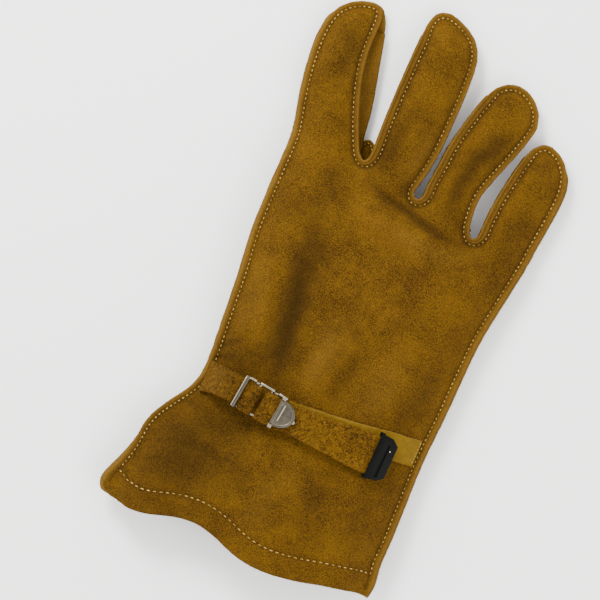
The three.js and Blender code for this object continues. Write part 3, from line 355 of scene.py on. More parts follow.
class Relief:
    """Heights of a node's outer face over the plan, softened."""

    PITCH = 1.5
    FAR = 200  # above or below all of the glove

    def __init__(self, places, face, side, blur):
        tree = BVHTree.FromPolygons([Vector(p) for p in places], face.tolist())
        low = places[:, :2].min(axis=0) - 4 * blur
        high = places[:, :2].max(axis=0) + 4 * blur
        self.low = low
        self.size = np.ceil((high - low) / self.PITCH).astype(int) + 1
        heights = np.zeros(self.size)
        known = np.zeros(self.size)
        for cell in np.ndindex(*self.size):
            x, y = low + np.array(cell) * self.PITCH
            hit = tree.ray_cast(Vector((x, y, self.FAR * side)), Vector((0, 0, -side)))[0]
            if hit is not None:
                heights[cell] = hit.z
                known[cell] = 1
        soft = self.blurred(known, blur)
        self.heights = self.blurred(heights * known, blur) / np.maximum(soft, 1e-6)

    def blurred(self, grid, blur):
        weights, _ = kernel(blur, self.PITCH)
        for axis in (0, 1):
            grid = np.apply_along_axis(lambda row: np.convolve(row, weights, "same"), axis, grid)
        return grid

    def at(self, points):
        place = np.clip((points[:, :2] - self.low) / self.PITCH, 0, self.size - 1.001)
        cell = place.astype(int)
        x, y = (place - cell).T
        i, j = cell.T
        h = self.heights
        near = h[i, j] * (1 - x) + h[i + 1, j] * x
        far = h[i, j + 1] * (1 - x) + h[i + 1, j + 1] * x
        return near * (1 - y) + far * y


def face_of(name, side, edge_blur, blur):
    """Rims and softened heights of the outer face of a sheet node."""
    places, triangles = node_mesh(name)
    face = outer_face(places, triangles, side)
    lines = rims_of(places, face)
    rims = [Rim(line, edge_blur, 1 if i == 0 else -1) for i, line in enumerate(lines)]
    return rims, Relief(places, face, side, blur)


def lattice(rims, step, kept):
    """Points of an even triangular lattice for which kept(distance from the rims, points) holds."""
    line = rims[0].line[:, :2]
    low, high = line.min(axis=0), line.max(axis=0)
    rise = step * math.sin(math.pi / 3)
    rows = []
    for row, y in enumerate(np.arange(low[1], high[1], rise)):
        x = np.arange(low[0] + (row % 2) * step / 2, high[0], step)
        rows.append(np.stack([x, np.full_like(x, y)], axis=1))
    points = np.vstack(rows)
    into = np.min([rim.nearest(points)[0] for rim in rims], axis=0)
    return points[kept(into, points)]


def filled(rings, points):
    """Triangles between closed rings of places in the plan, through the points inside them."""
    everything = [Vector(p) for ring in rings for p in ring[:, :2]] + [Vector(p) for p in points]
    edges = []
    start = 0
    for ring in rings:
        count = len(ring)
        edges += [(start + i, start + (i + 1) % count) for i in range(count)]
        start += count
    inside_with_holes = 4
    _, _, faces, origins, _, _ = geometry.delaunay_2d_cdt(everything, edges, [], inside_with_holes, 1e-7)
    source = [origin[0] if origin else -1 for origin in origins]
    if min(source) < 0:
        raise RuntimeError("the rim of a sheet crosses itself")
    return np.array([[source[i] for i in face] for face in faces])


FLOOR = (-1e6, -1e6, 0.0)  # least that a place may be: nothing reaches below the surface


def reworked(piece, work):
    """Lets work change the faces of a piece."""
    body = bmesh.new()
    body.from_mesh(piece.data)
    work(body)
    body.to_mesh(piece.data)
    body.free()


def paint(piece, title, values):
    """Gives the points of a piece a value each, or all the same one, that the finishes read."""
    values = np.broadcast_to(np.asarray(values, np.float32), len(piece.data.vertices))
    piece.data.attributes.new(title, "FLOAT", "POINT").data.foreach_set("value", values.copy())


def add_mesh(name, places, faces, attributes=()):
    """A mesh object from places in millimetres, with a value at each place for each attribute."""
    mesh = bpy.data.meshes.new(name)
    places = np.maximum(np.asarray(places), FLOOR)
    mesh.from_pydata((places * MM).tolist(), [], [list(map(int, f)) for f in faces])
    piece = bpy.data.objects.new(name, mesh)
    for title, values in dict(attributes).items():
        paint(piece, title, values)
    reworked(piece, lambda body: bmesh.ops.recalc_face_normals(body, faces=body.faces))
    mesh.shade_smooth()
    bpy.context.scene.collection.objects.link(piece)
    return piece


def point_normals(places, triangles):
    normals = np.zeros_like(places)
    face = face_vectors(places, triangles)
    for i in range(3):
        np.add.at(normals, triangles[:, i], face)
    return unit(normals)


class Sheet:
    """A panel of leather over a sheet node. Its outer face stands off the node's softened face by
    details(points, into, margin, index, which, sewn): into is the distance from the nearest rim,
    which that rim's number, index its nearest point, margin the width of its flat edge there, and
    sewn is 0 along a hem and 1 elsewhere."""

    EDGE_STEP = 0.8  # between the points of an edge
    EDGE_ROUND = 0.35
    SEAM_REACH = 7.0  # width of the strip with the finer points
    ROW_STEP = 0.62  # between the rows of points along a rim
    ROWS = 7
    RAGGED = 0.1  # how far an edge strays
    SLOPE_REACH = 0.5  # over which a slope is measured

    def __init__(self, rims, relief, side, step, details, seams=(), hemmed=False, wider=0.0):
        self.rims = rims
        self.relief = relief
        self.side = side
        self.sewn = sewn_share(rims[0].line) if hemmed else np.ones(len(rims[0].line))
        self.step = step
        self.details = details
        self.seams = seams
        allowance = bpy.context.scene.glove_leather.seam_allowance / MM
        self.margins = [np.full(len(rim.line), allowance) for rim in rims]
        self.margins[0] += wider
        self.starts = np.cumsum([0] + [len(rim.line) for rim in rims])

    def nearest(self, points):
        """Distance into the face, nearest point of a rim, its height, its rim's number, its margin."""
        found = [rim.nearest(points) for rim in self.rims]
        into = np.array([f[0] for f in found])
        which = into.argmin(axis=0)
        own = np.arange(len(points))
        index = np.array([f[1] for f in found])[which, own]
        height = np.array([rim.line[f[1], 2] for rim, f in zip(self.rims, found)])[which, own]
        margin = np.concatenate(self.margins)[self.starts[which] + index]
        return into[which, own], index, height, which, margin

    def height(self, points):
        """Height of the outer face, the shade painted on it, which is painted light where below nought, the
        distance from its edge, whether that edge is sewn, and its margin."""
        into, index, edge, which, margin = self.nearest(points)
        sewn = np.where(which == 0, self.sewn[index * (which == 0)], 1.0)
        flat = sewn * margin * 0.9
        flange = 1 - smooth((into - flat) / (3.2 + 1.3 * (1 - sewn)), 0, 1)
        base = edge * flange + self.relief.at(points) * (1 - flange)
        stand, painted_shading = self.details(points, into, margin, index, which, sewn)
        return base + self.side * stand, painted_shading, into, sewn, margin

    def outward(self, points):
        """Unit vectors out of the outer face."""
        slopes = []
        for step in np.eye(2) * self.SLOPE_REACH:
            rise = self.height(points + step)[0] - self.height(points - step)[0]
            slopes.append(-rise / (2 * self.SLOPE_REACH))
        return unit(np.column_stack([*slopes, np.ones(len(points))]) * self.side)

    def drawn_in(self, number, ring):
        """The ring in the plan, drawn in by the rounding of its edge and a little raggedness."""
        along = self.rims[number].nearest(ring)[1][:, None] * FINE_STEP
        ragged = self.RAGGED * (wobble(along, 1.7, 60 + number) + wobble(along, 6.0, 65 + number))
        return ring[:, :2] + left_normals(ring) * (self.EDGE_ROUND + ragged)[:, None]

    def points_inside(self):
        """Points of the outer face: rows beside its rims, and closer together near its seams."""
        sizes = bpy.context.scene.glove_leather
        fine = sizes.seam_step / MM
        rows = []
        for rim in self.rims:
            line = evened(rim.line, fine)
            normals = left_normals(line)
            for row in range(1, self.ROWS + 1):
                start = row % 2
                beside = line[start:, :2] + normals[start:] * (self.EDGE_ROUND + row * self.ROW_STEP)
                into = self.nearest(beside)[0]
                rows.append(beside[into > self.EDGE_ROUND + (row - 0.35) * self.ROW_STEP])
        rows = np.vstack(rows)
        reach = self.EDGE_ROUND + (self.ROWS + 0.8) * self.ROW_STEP

        def near(into, points):
            close = into < self.SEAM_REACH
            for tree, low, high in self.seams:
                away = away_from(tree, points)
                close |= (away > low) & (away < high)
            return close

        close = lattice(self.rims, fine, lambda into, points: near(into, points) & (into > reach))
        broad = lattice(self.rims, self.step, lambda into, points: ~near(into, points) & (into > reach))
        return np.vstack([rows, close, broad])

    def build(self, name, thickness, inner_step):
        """The panel as a closed mesh: outer face, rounded edges and a coarser inner face."""
        rings = [evened(rim.line, self.EDGE_STEP) for rim in self.rims]
        insets = [self.drawn_in(number, ring) for number, ring in enumerate(rings)]
        inside = self.points_inside()
        plan = np.vstack([*insets, inside])
        height, painted_shading, into, sewn, margin = self.height(plan)
        outer = np.column_stack([plan, height])
        outer_faces = filled(insets, inside)
        normals = point_normals(outer, outer_faces)
        normals *= np.sign(normals[:, 2:3]) * self.side
        edge_count = sum(len(ring) for ring in rings)
        coarse = lattice(self.rims, inner_step, lambda into, points: into > 0.9 * inner_step)
        tree = plan_tree(inside)
        chosen = sorted({tree.find((x, y, 0))[1] for x, y in coarse})
        inner_from = np.concatenate([np.arange(edge_count), edge_count + np.array(chosen, int)])
        wall = thickness(plan) if callable(thickness) else np.full(len(plan), thickness)
        inner = (outer - normals * wall[:, None])[inner_from]
        inner_faces = filled(insets, inside[chosen])
        out = np.vstack([-left_normals(ring) for ring in rings])
        bulge = self.EDGE_ROUND * 0.9 + 0.14 * (wall[:edge_count] - wall.min())
        middle = (outer[:edge_count] + inner[:edge_count]) / 2
        middle[:, :2] += out * bulge[:, None]
        to_middle, to_inner = len(outer), len(outer) + edge_count
        faces = outer_faces.tolist() + (inner_faces[:, ::-1] + to_inner).tolist()
        start = 0
        for ring in rings:
            count = len(ring)
            for i in range(count):
                a, b = start + i, start + (i + 1) % count
                faces.append([b, a, to_middle + a, to_middle + b])
                faces.append([to_middle + b, to_middle + a, to_inner + a, to_inner + b])
            start += count

        def whole(upper, between):
            """Values for all points, from those of the outer face and one for the middle of the edge."""
            return np.concatenate([upper, np.full(edge_count, between), upper[inner_from]])

        values = {
            "edge": whole((1 - smooth(into, 0.3, 1.4)) * (0.3 + 0.7 * sewn), 1),
            "flange": whole((1 - smooth(into - margin, -0.6, 0.4)) * sewn, 1),
            # painted shade of folds and grooves, and painted light on swells where below nought, for the
            # suede finish
            "painted_shading": whole(painted_shading, 0),
        }
        return add_mesh(name, np.vstack([outer, middle, inner]), faces, values)


# Creases of the back: what each is, its depth, its width, how much shade is painted on the nap there, and
# its path in the plan, in millimetres. A swell has a depth below nought and a painted shade below nought,
# which paints light on it.
BACK_FOLDS = [
    ("valley above the buckle", 1.5, 6.8, 0.95, (-17, -57), (-21, -40), (-24, -14), (-27, 18)),
    ("shade above the tab", 0.4, 9, 0.55, (-46, -58), (-38, -50), (-31, -42)),
    ("swell beside it", -0.9, 6, -0.5, (-4, -56), (-2, -38), (2, -20)),
    ("swell on the index side", -0.5, 6, -0.3, (-40, -52), (-42, -30), (-44, -5)),
    ("second pleat", 0.9, 4, 0.4, (12, -58), (14, -44), (18, -26)),
    ("swell after it", -0.5, 6, -0.3, (30, -58), (33, -40), (34, -22)),
    ("third pleat", 0.9, 5, 0.45, (49, -58), (52, -42), (57, -22)),
    ("knuckle crease", 1.1, 2.3, 0.8, (-12, 55), (-3, 49), (13, 46), (24, 42), (35, 39.7), (44, 41.5)),
    ("knuckle swell", -0.6, 5, -0.25, (-4, 39), (14, 33), (36, 32), (52, 36)),
    ("ring finger hollow", 1.0, 4.2, 0.8, (31, 53), (31, 67), (34, 82), (45, 100)),
    ("middle finger hollow", 0.7, 4, 0.55, (-10, 60), (-7.5, 77), (-5.5, 92)),
    ("middle finger swell", -0.6, 4.5, -0.4, (5, 61), (8, 74), (11, 91)),
    ("index finger streak", 0.6, 3.4, 0.55, (-46, 92), (-45, 108), (-47, 124)),
    ("index finger base", 0.5, 7, 0.3, (-24, 50), (-30, 38), (-38, 20)),
    ("little finger base", 0.4, 5, 0.2, (62, 44), (66, 56), (70, 72)),
    ("gather below the tab", 1.5, 13, 0.55, (-39, -92), (-43, -112), (-49, -130)),
    ("shade at the cuff's side", 0.2, 11, 0.4, (-50, -84), (-59, -106), (-66, -130)),
    ("shade under the tab", 0.3, 10, 0.28, (-52, -82), (-36, -84), (-14, -88)),
    ("swell of the cuff", -0.7, 8, -0.25, (2, -96), (-2, -116), (-10, -134)),
    ("fold beside it", 0.4, 8, 0.3, (-26, -94), (-16, -106), (-18, -122)),
    ("cuff hollow", 0.8, 7, 0.35, (20, -96), (24, -114), (27, -128)),
    ("pucker above the tab", 0.7, 1.5, 0.3, (-52, -57), (-47, -55), (-41, -54)),
    ("second pucker", 0.6, 1.4, 0.25, (-50, -51), (-46, -48), (-42, -46)),
    ("pucker below the tab", 0.6, 1.5, 0.25, (-60, -84), (-55, -83), (-50, -84)),
    ("shade of the hem", 0.0, 6, 0.28, (-60, -134), (-40, -138), (-16, -143)),
    ("cuff hollow, outer", 0.5, 6, 0.25, (44, -92), (46, -108), (48, -122)),
]


def beside_path(path, points):
    """Distance along and away from a path in the plan, past its ends too."""
    best = np.full(len(points), 1e9)
    along = np.zeros(len(points))
    run = 0.0
    for start, end in zip(path, path[1:]):
        start, end = np.array(start, float), np.array(end, float)
        length = np.linalg.norm(end - start)
        share = np.clip((points - start) @ (end - start) / length**2, 0, 1)
        away = np.linalg.norm(points - start - share[:, None] * (end - start), axis=1)
        closer = away < best
        best = np.where(closer, away, best)
        along = np.where(closer, run + share * length, along)
        run += length
    return along, best, run


def fold_field(table, points):
    """Depth of all the folds of a table together, and the shade painted on the nap in them, which paints
    light where below nought.
    """
    depth = np.zeros(len(points))
    dark = np.zeros(len(points))
    for order, (_, deepest, width, painted_darkness, *path) in enumerate(table):
        strayed = np.column_stack([wobble(points, 11, 80 + order), wobble(points, 13, 90 + order)])
        along, away, run = beside_path(path, points + 0.3 * width * strayed)
        fade = smooth(along / run, -0.05, 0.3) * (1 - smooth(along / run, 0.65, 1.05))
        fade = 0.35 + 0.65 * fade
        depth += deepest * fade * (bell(away, width) - 0.25 * bell(away - 1.7 * width, 0.7 * width))
        # painted shade along a fold, and painted light along a swell
        dark += painted_darkness * fade * bell(away, width * 1.15)
    return depth, dark


def seam_relief(into, along, margin, pucker, seed):
    """How a sewn edge stands: a rounded flat edge, a groove under the stitches and puckers."""
    flange = 0.25 * bell(into - margin / 2, 1.1) - 0.3 * (1 - smooth(into, 0, 0.9))
    groove = -0.55 * bell(into - margin, 0.75)
    reach = bell(np.maximum(into - margin - 2, 0), 4.5) * smooth(into / margin, 0.6, 1.4)
    return flange + groove + pucker * reach * wobble(along[:, None], 4.2, seed)


def panel_details(seed, folds=(), lumps=0.0, quiet=None):
    """Details of a panel's outer face for Sheet: seam, folds, puckers and soft lumps."""
    sizes = bpy.context.scene.glove_leather

    def details(points, into, margin, index, which, sewn):
        along = index * FINE_STEP + which * 1000.0
        stand = sewn * seam_relief(into, along, margin, sizes.pucker / MM, seed)
        stand -= (1 - sewn) * 0.5 * (1 - smooth(into, 0, 1.6))
        inside = smooth(into, 3, 9)
        stand += inside * lumps * wobble(points, 26, seed + 1)
        stand += inside * lumps * 0.45 * wobble(points, 9, seed + 2)
        stand += 0.05 * wobble(points, 1.9, seed + 3)
        depth, dark = fold_field(folds, points)
        stand -= depth * smooth(into, 2, 6)
        if quiet is not None:
            stand = np.where(stand > 0, stand * quiet(points), stand)
        # painted shade: the folds' painted shading, and darker in the groove under the stitches
        return stand, dark + sewn * 0.5 * bell(into - margin - 0.3, 1.0)

    return details


# Finishes


SHINE = "Specular IOR Level"


def plug(tree, socket, value):
    """Gives an input a link or a value."""
    if isinstance(value, bpy.types.NodeSocket):
        tree.links.new(value, socket)
    else:
        socket.default_value = value


def add_node(tree, kind, inputs=(), output=None, **settings):
    """Adds a node with values or links for its inputs, and gives the named or first output."""
    node = tree.nodes.new(kind)
    for title, value in settings.items():
        setattr(node, title, value)
    for title, value in dict(inputs).items():
        if isinstance(title, int):
            socket = node.inputs[title]
        else:
            socket = next(s for s in node.inputs if s.enabled and s.name == title)
        plug(tree, socket, value)
    return next(s for s in node.outputs if s.enabled and output in (None, s.name))


def new_finish(name):
    """A material, its node tree and the place on the object."""
    material = bpy.data.materials.new(name)
    material.use_nodes = True
    return material, material.node_tree, add_node(material.node_tree, "ShaderNodeTexCoord", output="Object")


def lay_on(material, colour, roughness, inputs=(), bump=None):
    """Sets or links what a material's shader needs. bump is a height, a strength and a depth."""
    tree = material.node_tree
    inputs = {"Base Color": colour, "Roughness": roughness, **dict(inputs)}
    if bump:
        settings = dict(zip(("Height", "Strength", "Distance"), bump))
        inputs["Normal"] = add_node(tree, "ShaderNodeBump", settings)
    for title, value in inputs.items():
        plug(tree, tree.nodes["Principled BSDF"].inputs[title], value)
    return material


def speckle(tree, place, size, detail=3.0, roughness=0.6, curl=0.0):
    """Noise with lumps of that size, in metres."""
    settings = {"Vector": place, "Scale": 1 / size, "Detail": detail, "Roughness": roughness}
    return add_node(tree, "ShaderNodeTexNoise", {**settings, "Distortion": curl})


def blend(tree, share, first, second):
    """Colour between two, as sRGB hex values or sockets."""
    first, second = (linear(colour) if isinstance(colour, str) else colour for colour in (first, second))
    inputs = {"Factor": share, "A": first, "B": second}
    return add_node(tree, "ShaderNodeMix", inputs, data_type="RGBA")


def scaled(tree, value, factor, plus=0.0, clamp=False):
    """value * factor + plus."""
    inputs = {0: value, 1: factor, 2: plus}
    return add_node(tree, "ShaderNodeMath", inputs, operation="MULTIPLY_ADD", use_clamp=clamp)


def spread(tree, value, low, high):
    """0 at low, 1 at high."""
    return add_node(tree, "ShaderNodeMapRange", {"Value": value, "From Min": low, "From Max": high})


def painted(tree, title):
    """A value that the mesh holds at each point."""
    return add_node(tree, "ShaderNodeAttribute", output="Fac", attribute_name=title)


def suede_finish(name="split cowhide suede", curl=0.0, length=0.55 * MM):
    """Split cowhide, sueded: a short nap that scatters light, mottled where it has been brushed both ways,
    with painted shade in folds and grooves, painted light on swells and on the forks' side walls, and paler
    on cut edges and flanges. curl twists a nap of that length."""
    colours = bpy.context.scene.glove_colours
    material, tree, place = new_finish(name)
    grain = scaled(tree, speckle(tree, place, 22 * MM), 0.3)  # brushed areas
    grain = scaled(tree, speckle(tree, place, 6 * MM, 4.0, 0.65), 0.12, grain)  # patches
    grain = scaled(tree, speckle(tree, place, length, 3.0, 0.7, curl), 0.95, grain)  # nap
    colour = blend(tree, spread(tree, grain, 0.555, 0.815), colours.suede_dark, colours.suede)
    painted_shading = painted(tree, "painted_shading")
    # paler on cut edges and flanges; on the forks' side walls the flange value is painted light
    pale = scaled(tree, painted(tree, "edge"), 0.45, scaled(tree, painted(tree, "flange"), 0.24))
    # painted light: paler where the painted shading is below nought, on swells
    pale = scaled(tree, scaled(tree, painted_shading, -1.0, clamp=True), 0.4, pale)
    colour = blend(tree, scaled(tree, pale, 1.0, clamp=True), colour, colours.raw_edge)
    # painted shade: darker by the painted shading of folds and grooves
    colour = blend(tree, scaled(tree, painted_shading, 0.75, clamp=True), colour, colours.suede_painted_shade)
    nap = {"Sheen Weight": 0.06, "Sheen Roughness": 0.5, "Sheen Tint": linear(colours.suede_sheen)}
    return lay_on(material, colour, 0.95, {SHINE: 0.05, **nap}, (grain, 0.65, 0.7 * MM))


def cut_edge_finish():
    """Cut edge of the hide: open fibre, paler and rougher than the nap."""
    colours = bpy.context.scene.glove_colours
    material, tree, place = new_finish("cut leather edge")
    fibre = speckle(tree, place, 1.2 * MM, 3.0, 0.7)
    colour = blend(tree, spread(tree, fibre, 0.35, 0.65), colours.raw_edge_dark, colours.raw_edge)
    return lay_on(material, colour, 0.9, {SHINE: 0.05}, (fibre, 0.5, 0.4 * MM))


def grain_finish():
    """Grain side of the strap leather: smooth and dyed tan, with a faint crumple and a low gloss."""
    colours = bpy.context.scene.glove_colours
    material, tree, place = new_finish("smooth tan strap leather")
    crumple = speckle(tree, place, 3 * MM, 5.0, 0.55)
    pores = speckle(tree, place, 0.6 * MM, 2.0)
    tone = scaled(tree, pores, 0.35, scaled(tree, crumple, 0.65))
    colour = blend(tree, spread(tree, tone, 0.35, 0.65), colours.tan_dark, colours.tan)
    return lay_on(material, colour, 0.7, {SHINE: 0.04}, (tone, 0.25, 0.3 * MM))


def thread_finish():
    """Waxed cotton thread: matt, pale, a little soiled by the hide."""
    colours = bpy.context.scene.glove_colours
    material, tree, place = new_finish("waxed cotton thread")
    soil = spread(tree, speckle(tree, place, 4 * MM), 0.35, 0.65)
    return lay_on(material, blend(tree, soil, colours.thread_soiled, colours.thread), 0.7, {SHINE: 0.1})


def steel_finish(name, colour):
    """Stamped steel, nickel plated: bright, satin, duller where it has been handled."""
    material, tree, place = new_finish(name)
    wear_and_highlight = speckle(tree, place, 2 * MM, 4.0, 0.6)
    ends = {"Value": wear_and_highlight, "From Min": 0.3, "From Max": 0.7, "To Min": 0.28, "To Max": 0.46}
    return lay_on(material, linear(colour), add_node(tree, "ShaderNodeMapRange", ends), {"Metallic": 1.0})


def enamel_finish():
    """Black enamel on steel: near black, half gloss, with a soft orange-peel surface."""
    material, tree, place = new_finish("black enamelled steel")
    peel = speckle(tree, place, 1.1 * MM, 2.0)
    colour = linear(bpy.context.scene.glove_colours.keeper)
    return lay_on(material, colour, 0.42, {SHINE: 0.05}, (peel, 0.15, 0.2 * MM))


def board_finish():
    """Matt white board, plain so that the shadows show."""
    colour = linear(bpy.context.scene.glove_colours.board)
    return lay_on(new_finish("matt white board")[0], colour, 0.9)


# Stitches


STITCH_RINGS = [(-0.5, 0.0), (-0.44, 0.62), (-0.25, 1.0), (0.25, 1.0), (0.44, 0.62), (0.5, 0.0)]
STITCH_SIDES = 6
STITCH_HEIGHT = 0.3  # of its middle, in thread diameters
STITCH_DIP = 6.4  # how fast its ends go down


def stitches(name, lines):
    """All stitches of the lines as one mesh. A line is its places, the up direction at each, how
    deep the thread is drawn in there, and its pitch; a stitch is a short thread that dips into
    the leather at both ends."""
    diameter = bpy.context.scene.glove_thread.diameter / MM
    places, faces = [], []
    for line, ups, sink, pitch in lines:
        lengths = along_line(line, False)
        middles = np.arange(pitch / 2, lengths[-1], pitch)
        spot = lambda at, table: np.stack([np.interp(at, lengths, column) for column in table.T], axis=1)
        centres = spot(middles, line)
        ahead = spot(np.minimum(middles + pitch / 2, lengths[-1]), line)
        behind = spot(np.maximum(middles - pitch / 2, 0), line)
        raised = spot(middles, ups)
        uneven = wobble(middles[:, None], 3.1, len(places) + 1)
        drawn = np.interp(middles, lengths, sink) + 0.12 * uneven
        spans = pitch * (0.58 + 0.1 * np.roll(uneven, 7))
        for centre, front, back, up, deep, span in zip(centres, ahead, behind, raised, drawn, spans):
            axis = unit(front - back)
            across = unit(np.cross(up, axis))
            up = np.cross(axis, across)
            start = len(places)
            for place, girth in STITCH_RINGS:
                dip = STITCH_HEIGHT - STITCH_DIP * abs(place) ** 3 - deep
                middle = centre + axis * place * span + up * dip * diameter
                if girth == 0:
                    places.append(middle)
                    continue
                for k in range(STITCH_SIDES):
                    angle = 2 * math.pi * k / STITCH_SIDES
                    radial = across * math.cos(angle) + up * math.sin(angle)
                    places.append(middle + radial * girth * diameter / 2)
            rings = len(STITCH_RINGS) - 2
            last = start + 1 + rings * STITCH_SIDES
            for k in range(STITCH_SIDES):
                following = (k + 1) % STITCH_SIDES
                faces.append([start, start + 1 + following, start + 1 + k])
                for ring in range(rings - 1):
                    a = start + 1 + ring * STITCH_SIDES
                    b = a + STITCH_SIDES
                    faces.append([a + k, a + following, b + following, b + k])
                b = last - STITCH_SIDES
                faces.append([b + k, b + following, last])
    return add_mesh(name, places, faces)


def finish_piece(piece, material, *nodes, slot=None):
    """Gives a piece its material and its body, and hides the nodes that it stands for; slot is not used."""
    if material:
        coat(piece, material)
    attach(piece, "root")
    if nodes:
        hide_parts(*nodes)


def coat(piece, material):
    """Gives all of a piece one material."""
    piece.data.materials.clear()
    piece.data.materials.append(material)
    return piece


shared = {}  # sheets and finishes that later steps use again


def finish(name, make):
    """A finish, made once."""
    if name not in shared:
        shared[name] = make()
    return shared[name]


def hemmed(hem, thickness, depth):
    """Wall thickness of a panel whose hem is turned in and doubled."""
    tree = plan_tree(hem)

    return lambda points: thickness * (2 - smooth(away_from(tree, points), depth - 1, depth + 1))


# Softened copies of the solids' own strips: forks, welts and straps


SAME_SIDE = math.radians(55)  # the sharpest edge inside one side of a strip


def number_sides(body):
    """Numbers the faces by the side that they belong to, the largest side first: 0, 1, 2 and on.
    Sides meet at sharp edges."""
    body.faces.ensure_lookup_table()
    side_of = {}
    areas = []
    for face in body.faces:
        if face in side_of:
            continue
        number, area, waiting = len(areas), 0.0, [face]
        side_of[face] = number
        while waiting:
            here = waiting.pop()
            area += here.calc_area()
            for edge in here.edges:
                if len(edge.link_faces) != 2 or edge.calc_face_angle() > SAME_SIDE:
                    continue
                for other in edge.link_faces:
                    if other not in side_of:
                        side_of[other] = number
                        waiting.append(other)
        areas.append(area)
    largest_first = sorted(range(len(areas)), key=lambda number: -areas[number])
    return {face: largest_first.index(number) for face, number in side_of.items()}


def read(items, title):
    """A table of one vector for each item."""
    values = np.empty(len(items) * 3)
    items.foreach_get(title, values)
    return values.reshape(-1, 3)


def softened(name, node, levels, crease, move):
    """A copy of a strip of the solids with its length smoothed and its edges eased, moved by
    move(places, normals); its faces keep the number of their side as material."""
    places, triangles = node_mesh(node)
    piece = add_mesh(name, places, triangles.tolist())
    for _ in range(3):
        piece.data.materials.append(None)

    def pair(body):
        limits = {"angle_face_threshold": math.radians(40), "angle_shape_threshold": math.radians(75)}
        bmesh.ops.join_triangles(body, faces=body.faces, **limits)

    def mark(body):
        sides = number_sides(body)
        for face, number in sides.items():
            face.material_index = min(number, 2)
        weight = body.edges.layers.float.new("crease_edge")
        for edge in body.edges:
            if len({sides[face] for face in edge.link_faces}) > 1:
                edge[weight] = crease

    reworked(piece, pair)
    reworked(piece, mark)
    modified(piece, "SUBSURF", levels=levels, render_levels=levels)
    mesh = piece.data
    places = read(mesh.vertices, "co") / MM
    places = np.maximum(places + move(places, read(mesh.vertex_normals, "vector")), FLOOR)
    mesh.vertices.foreach_set("co", (places * MM).reshape(-1))
    mesh.update()
    mesh.shade_smooth()
    return piece


def dress(piece, *materials):
    """Puts the materials on a softened strip, by the number of its side."""
    for number, material in enumerate(materials):
        piece.data.materials[number] = material


class GLOVE_OT_back(bpy.types.Operator):
    """Back of the hand, fingers and cuff, one hide"""

    bl_idname = "glove.back"
    bl_label = "Back"

    SPLIT = 1.5  # from the back's edge to the line where it meets the edge of a fork
    BROADER = 1.7  # how much further in the seam is where such an edge faces the index side
    OVERHANG = 2.7  # of the cuff over its welt
    FORK_NEAR = 2.4  # an edge with a fork that close is sewn to it
    FADE = 4.0

    def execute(self, context):
        sizes = context.scene.glove_leather
        strap_low, strap_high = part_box("pull_strap")
        low, high = strap_low.y / MM - 3, strap_high.y / MM + 4

        def quiet(points):
            """How much of the relief is kept: little under the straps, which lie on the back."""
            off = np.maximum(low - points[:, 1], points[:, 1] - high)
            return 0.1 + 0.9 * smooth(off, 0, 6)

        rims, relief = face_of("back_panel", 1, 1.1, 2.6)
        rim = rims[0]
        # On the index side of the cuff the hide reaches out over the welt
        cuff = (rim.line[:, 0] < -20) * smooth(-rim.line[:, 1], 62, 96)
        rim.widen(self.OVERHANG * cuff * sewn_share(rim.line))
        forks = plan_tree(np.vstack([node_mesh(name)[0] for name in FORKS]))
        reach = int(self.FADE / FINE_STEP)
        forked = averaged((away_from(forks, rim.line) < self.FORK_NEAR) * 1.0, reach)
        # The edges that face the index side are broader, and show a fork's edge beside their own
        turn = context.scene.glove_stage.view_turn
        facing = smooth(rim.normals @ (math.cos(turn), math.sin(turn)), 0.1, 0.7)
        facing = averaged(facing * forked, reach)
        shared["forked"] = forked
        hem, hem_depth = hem_span(rim.line), sizes.hem_depth / MM
        hem_tree = plan_tree(hem)
        panel = panel_details(1, BACK_FOLDS, 0.5, quiet)
        split_at = self.SPLIT + 0.5 * facing

        def details(points, into, margin, index, which, sewn):
            stand, dark = panel(points, into, margin, index, which, sewn)
            row = bell(away_from(hem_tree, points) - hem_depth + 0.8, 1.0) * smooth(into, 3.5, 5)
            seam = forked[index] * bell(into - margin, 1.2)
            shown = 0.35 * forked[index] + 0.65 * facing[index]
            split = shown * bell(into - split_at[index] - 0.2 * wobble(points, 7, 15), 0.42)
            ridges = shown * (0.25 * bell(into - 1.0, 0.5) + 0.35 * bell(into - margin + 1.2, 0.6))
            stand = stand - 0.45 * row - 0.2 * seam - 0.8 * split + ridges
            # painted shade in the grooves along the hem's row, along a seam beside a fork and along the
            # split
            return stand, dark + 0.35 * row + 0.3 * seam + 0.85 * split

        hem_row = (hem_tree, hem_depth - 3, hem_depth + 2)
        sheet = Sheet(rims, relief, 1, sizes.step / MM, details, [hem_row], True, self.BROADER * facing)
        wall = hemmed(hem, sizes.thickness / MM, hem_depth)
        piece = sheet.build("back_of_hand", wall, sizes.inner_step / MM)
        finish_piece(piece, finish("suede", suede_finish), "back_panel", slot="suede")
        shared["back"] = sheet
        shared["edges"] = [piece]
        return {"FINISHED"}


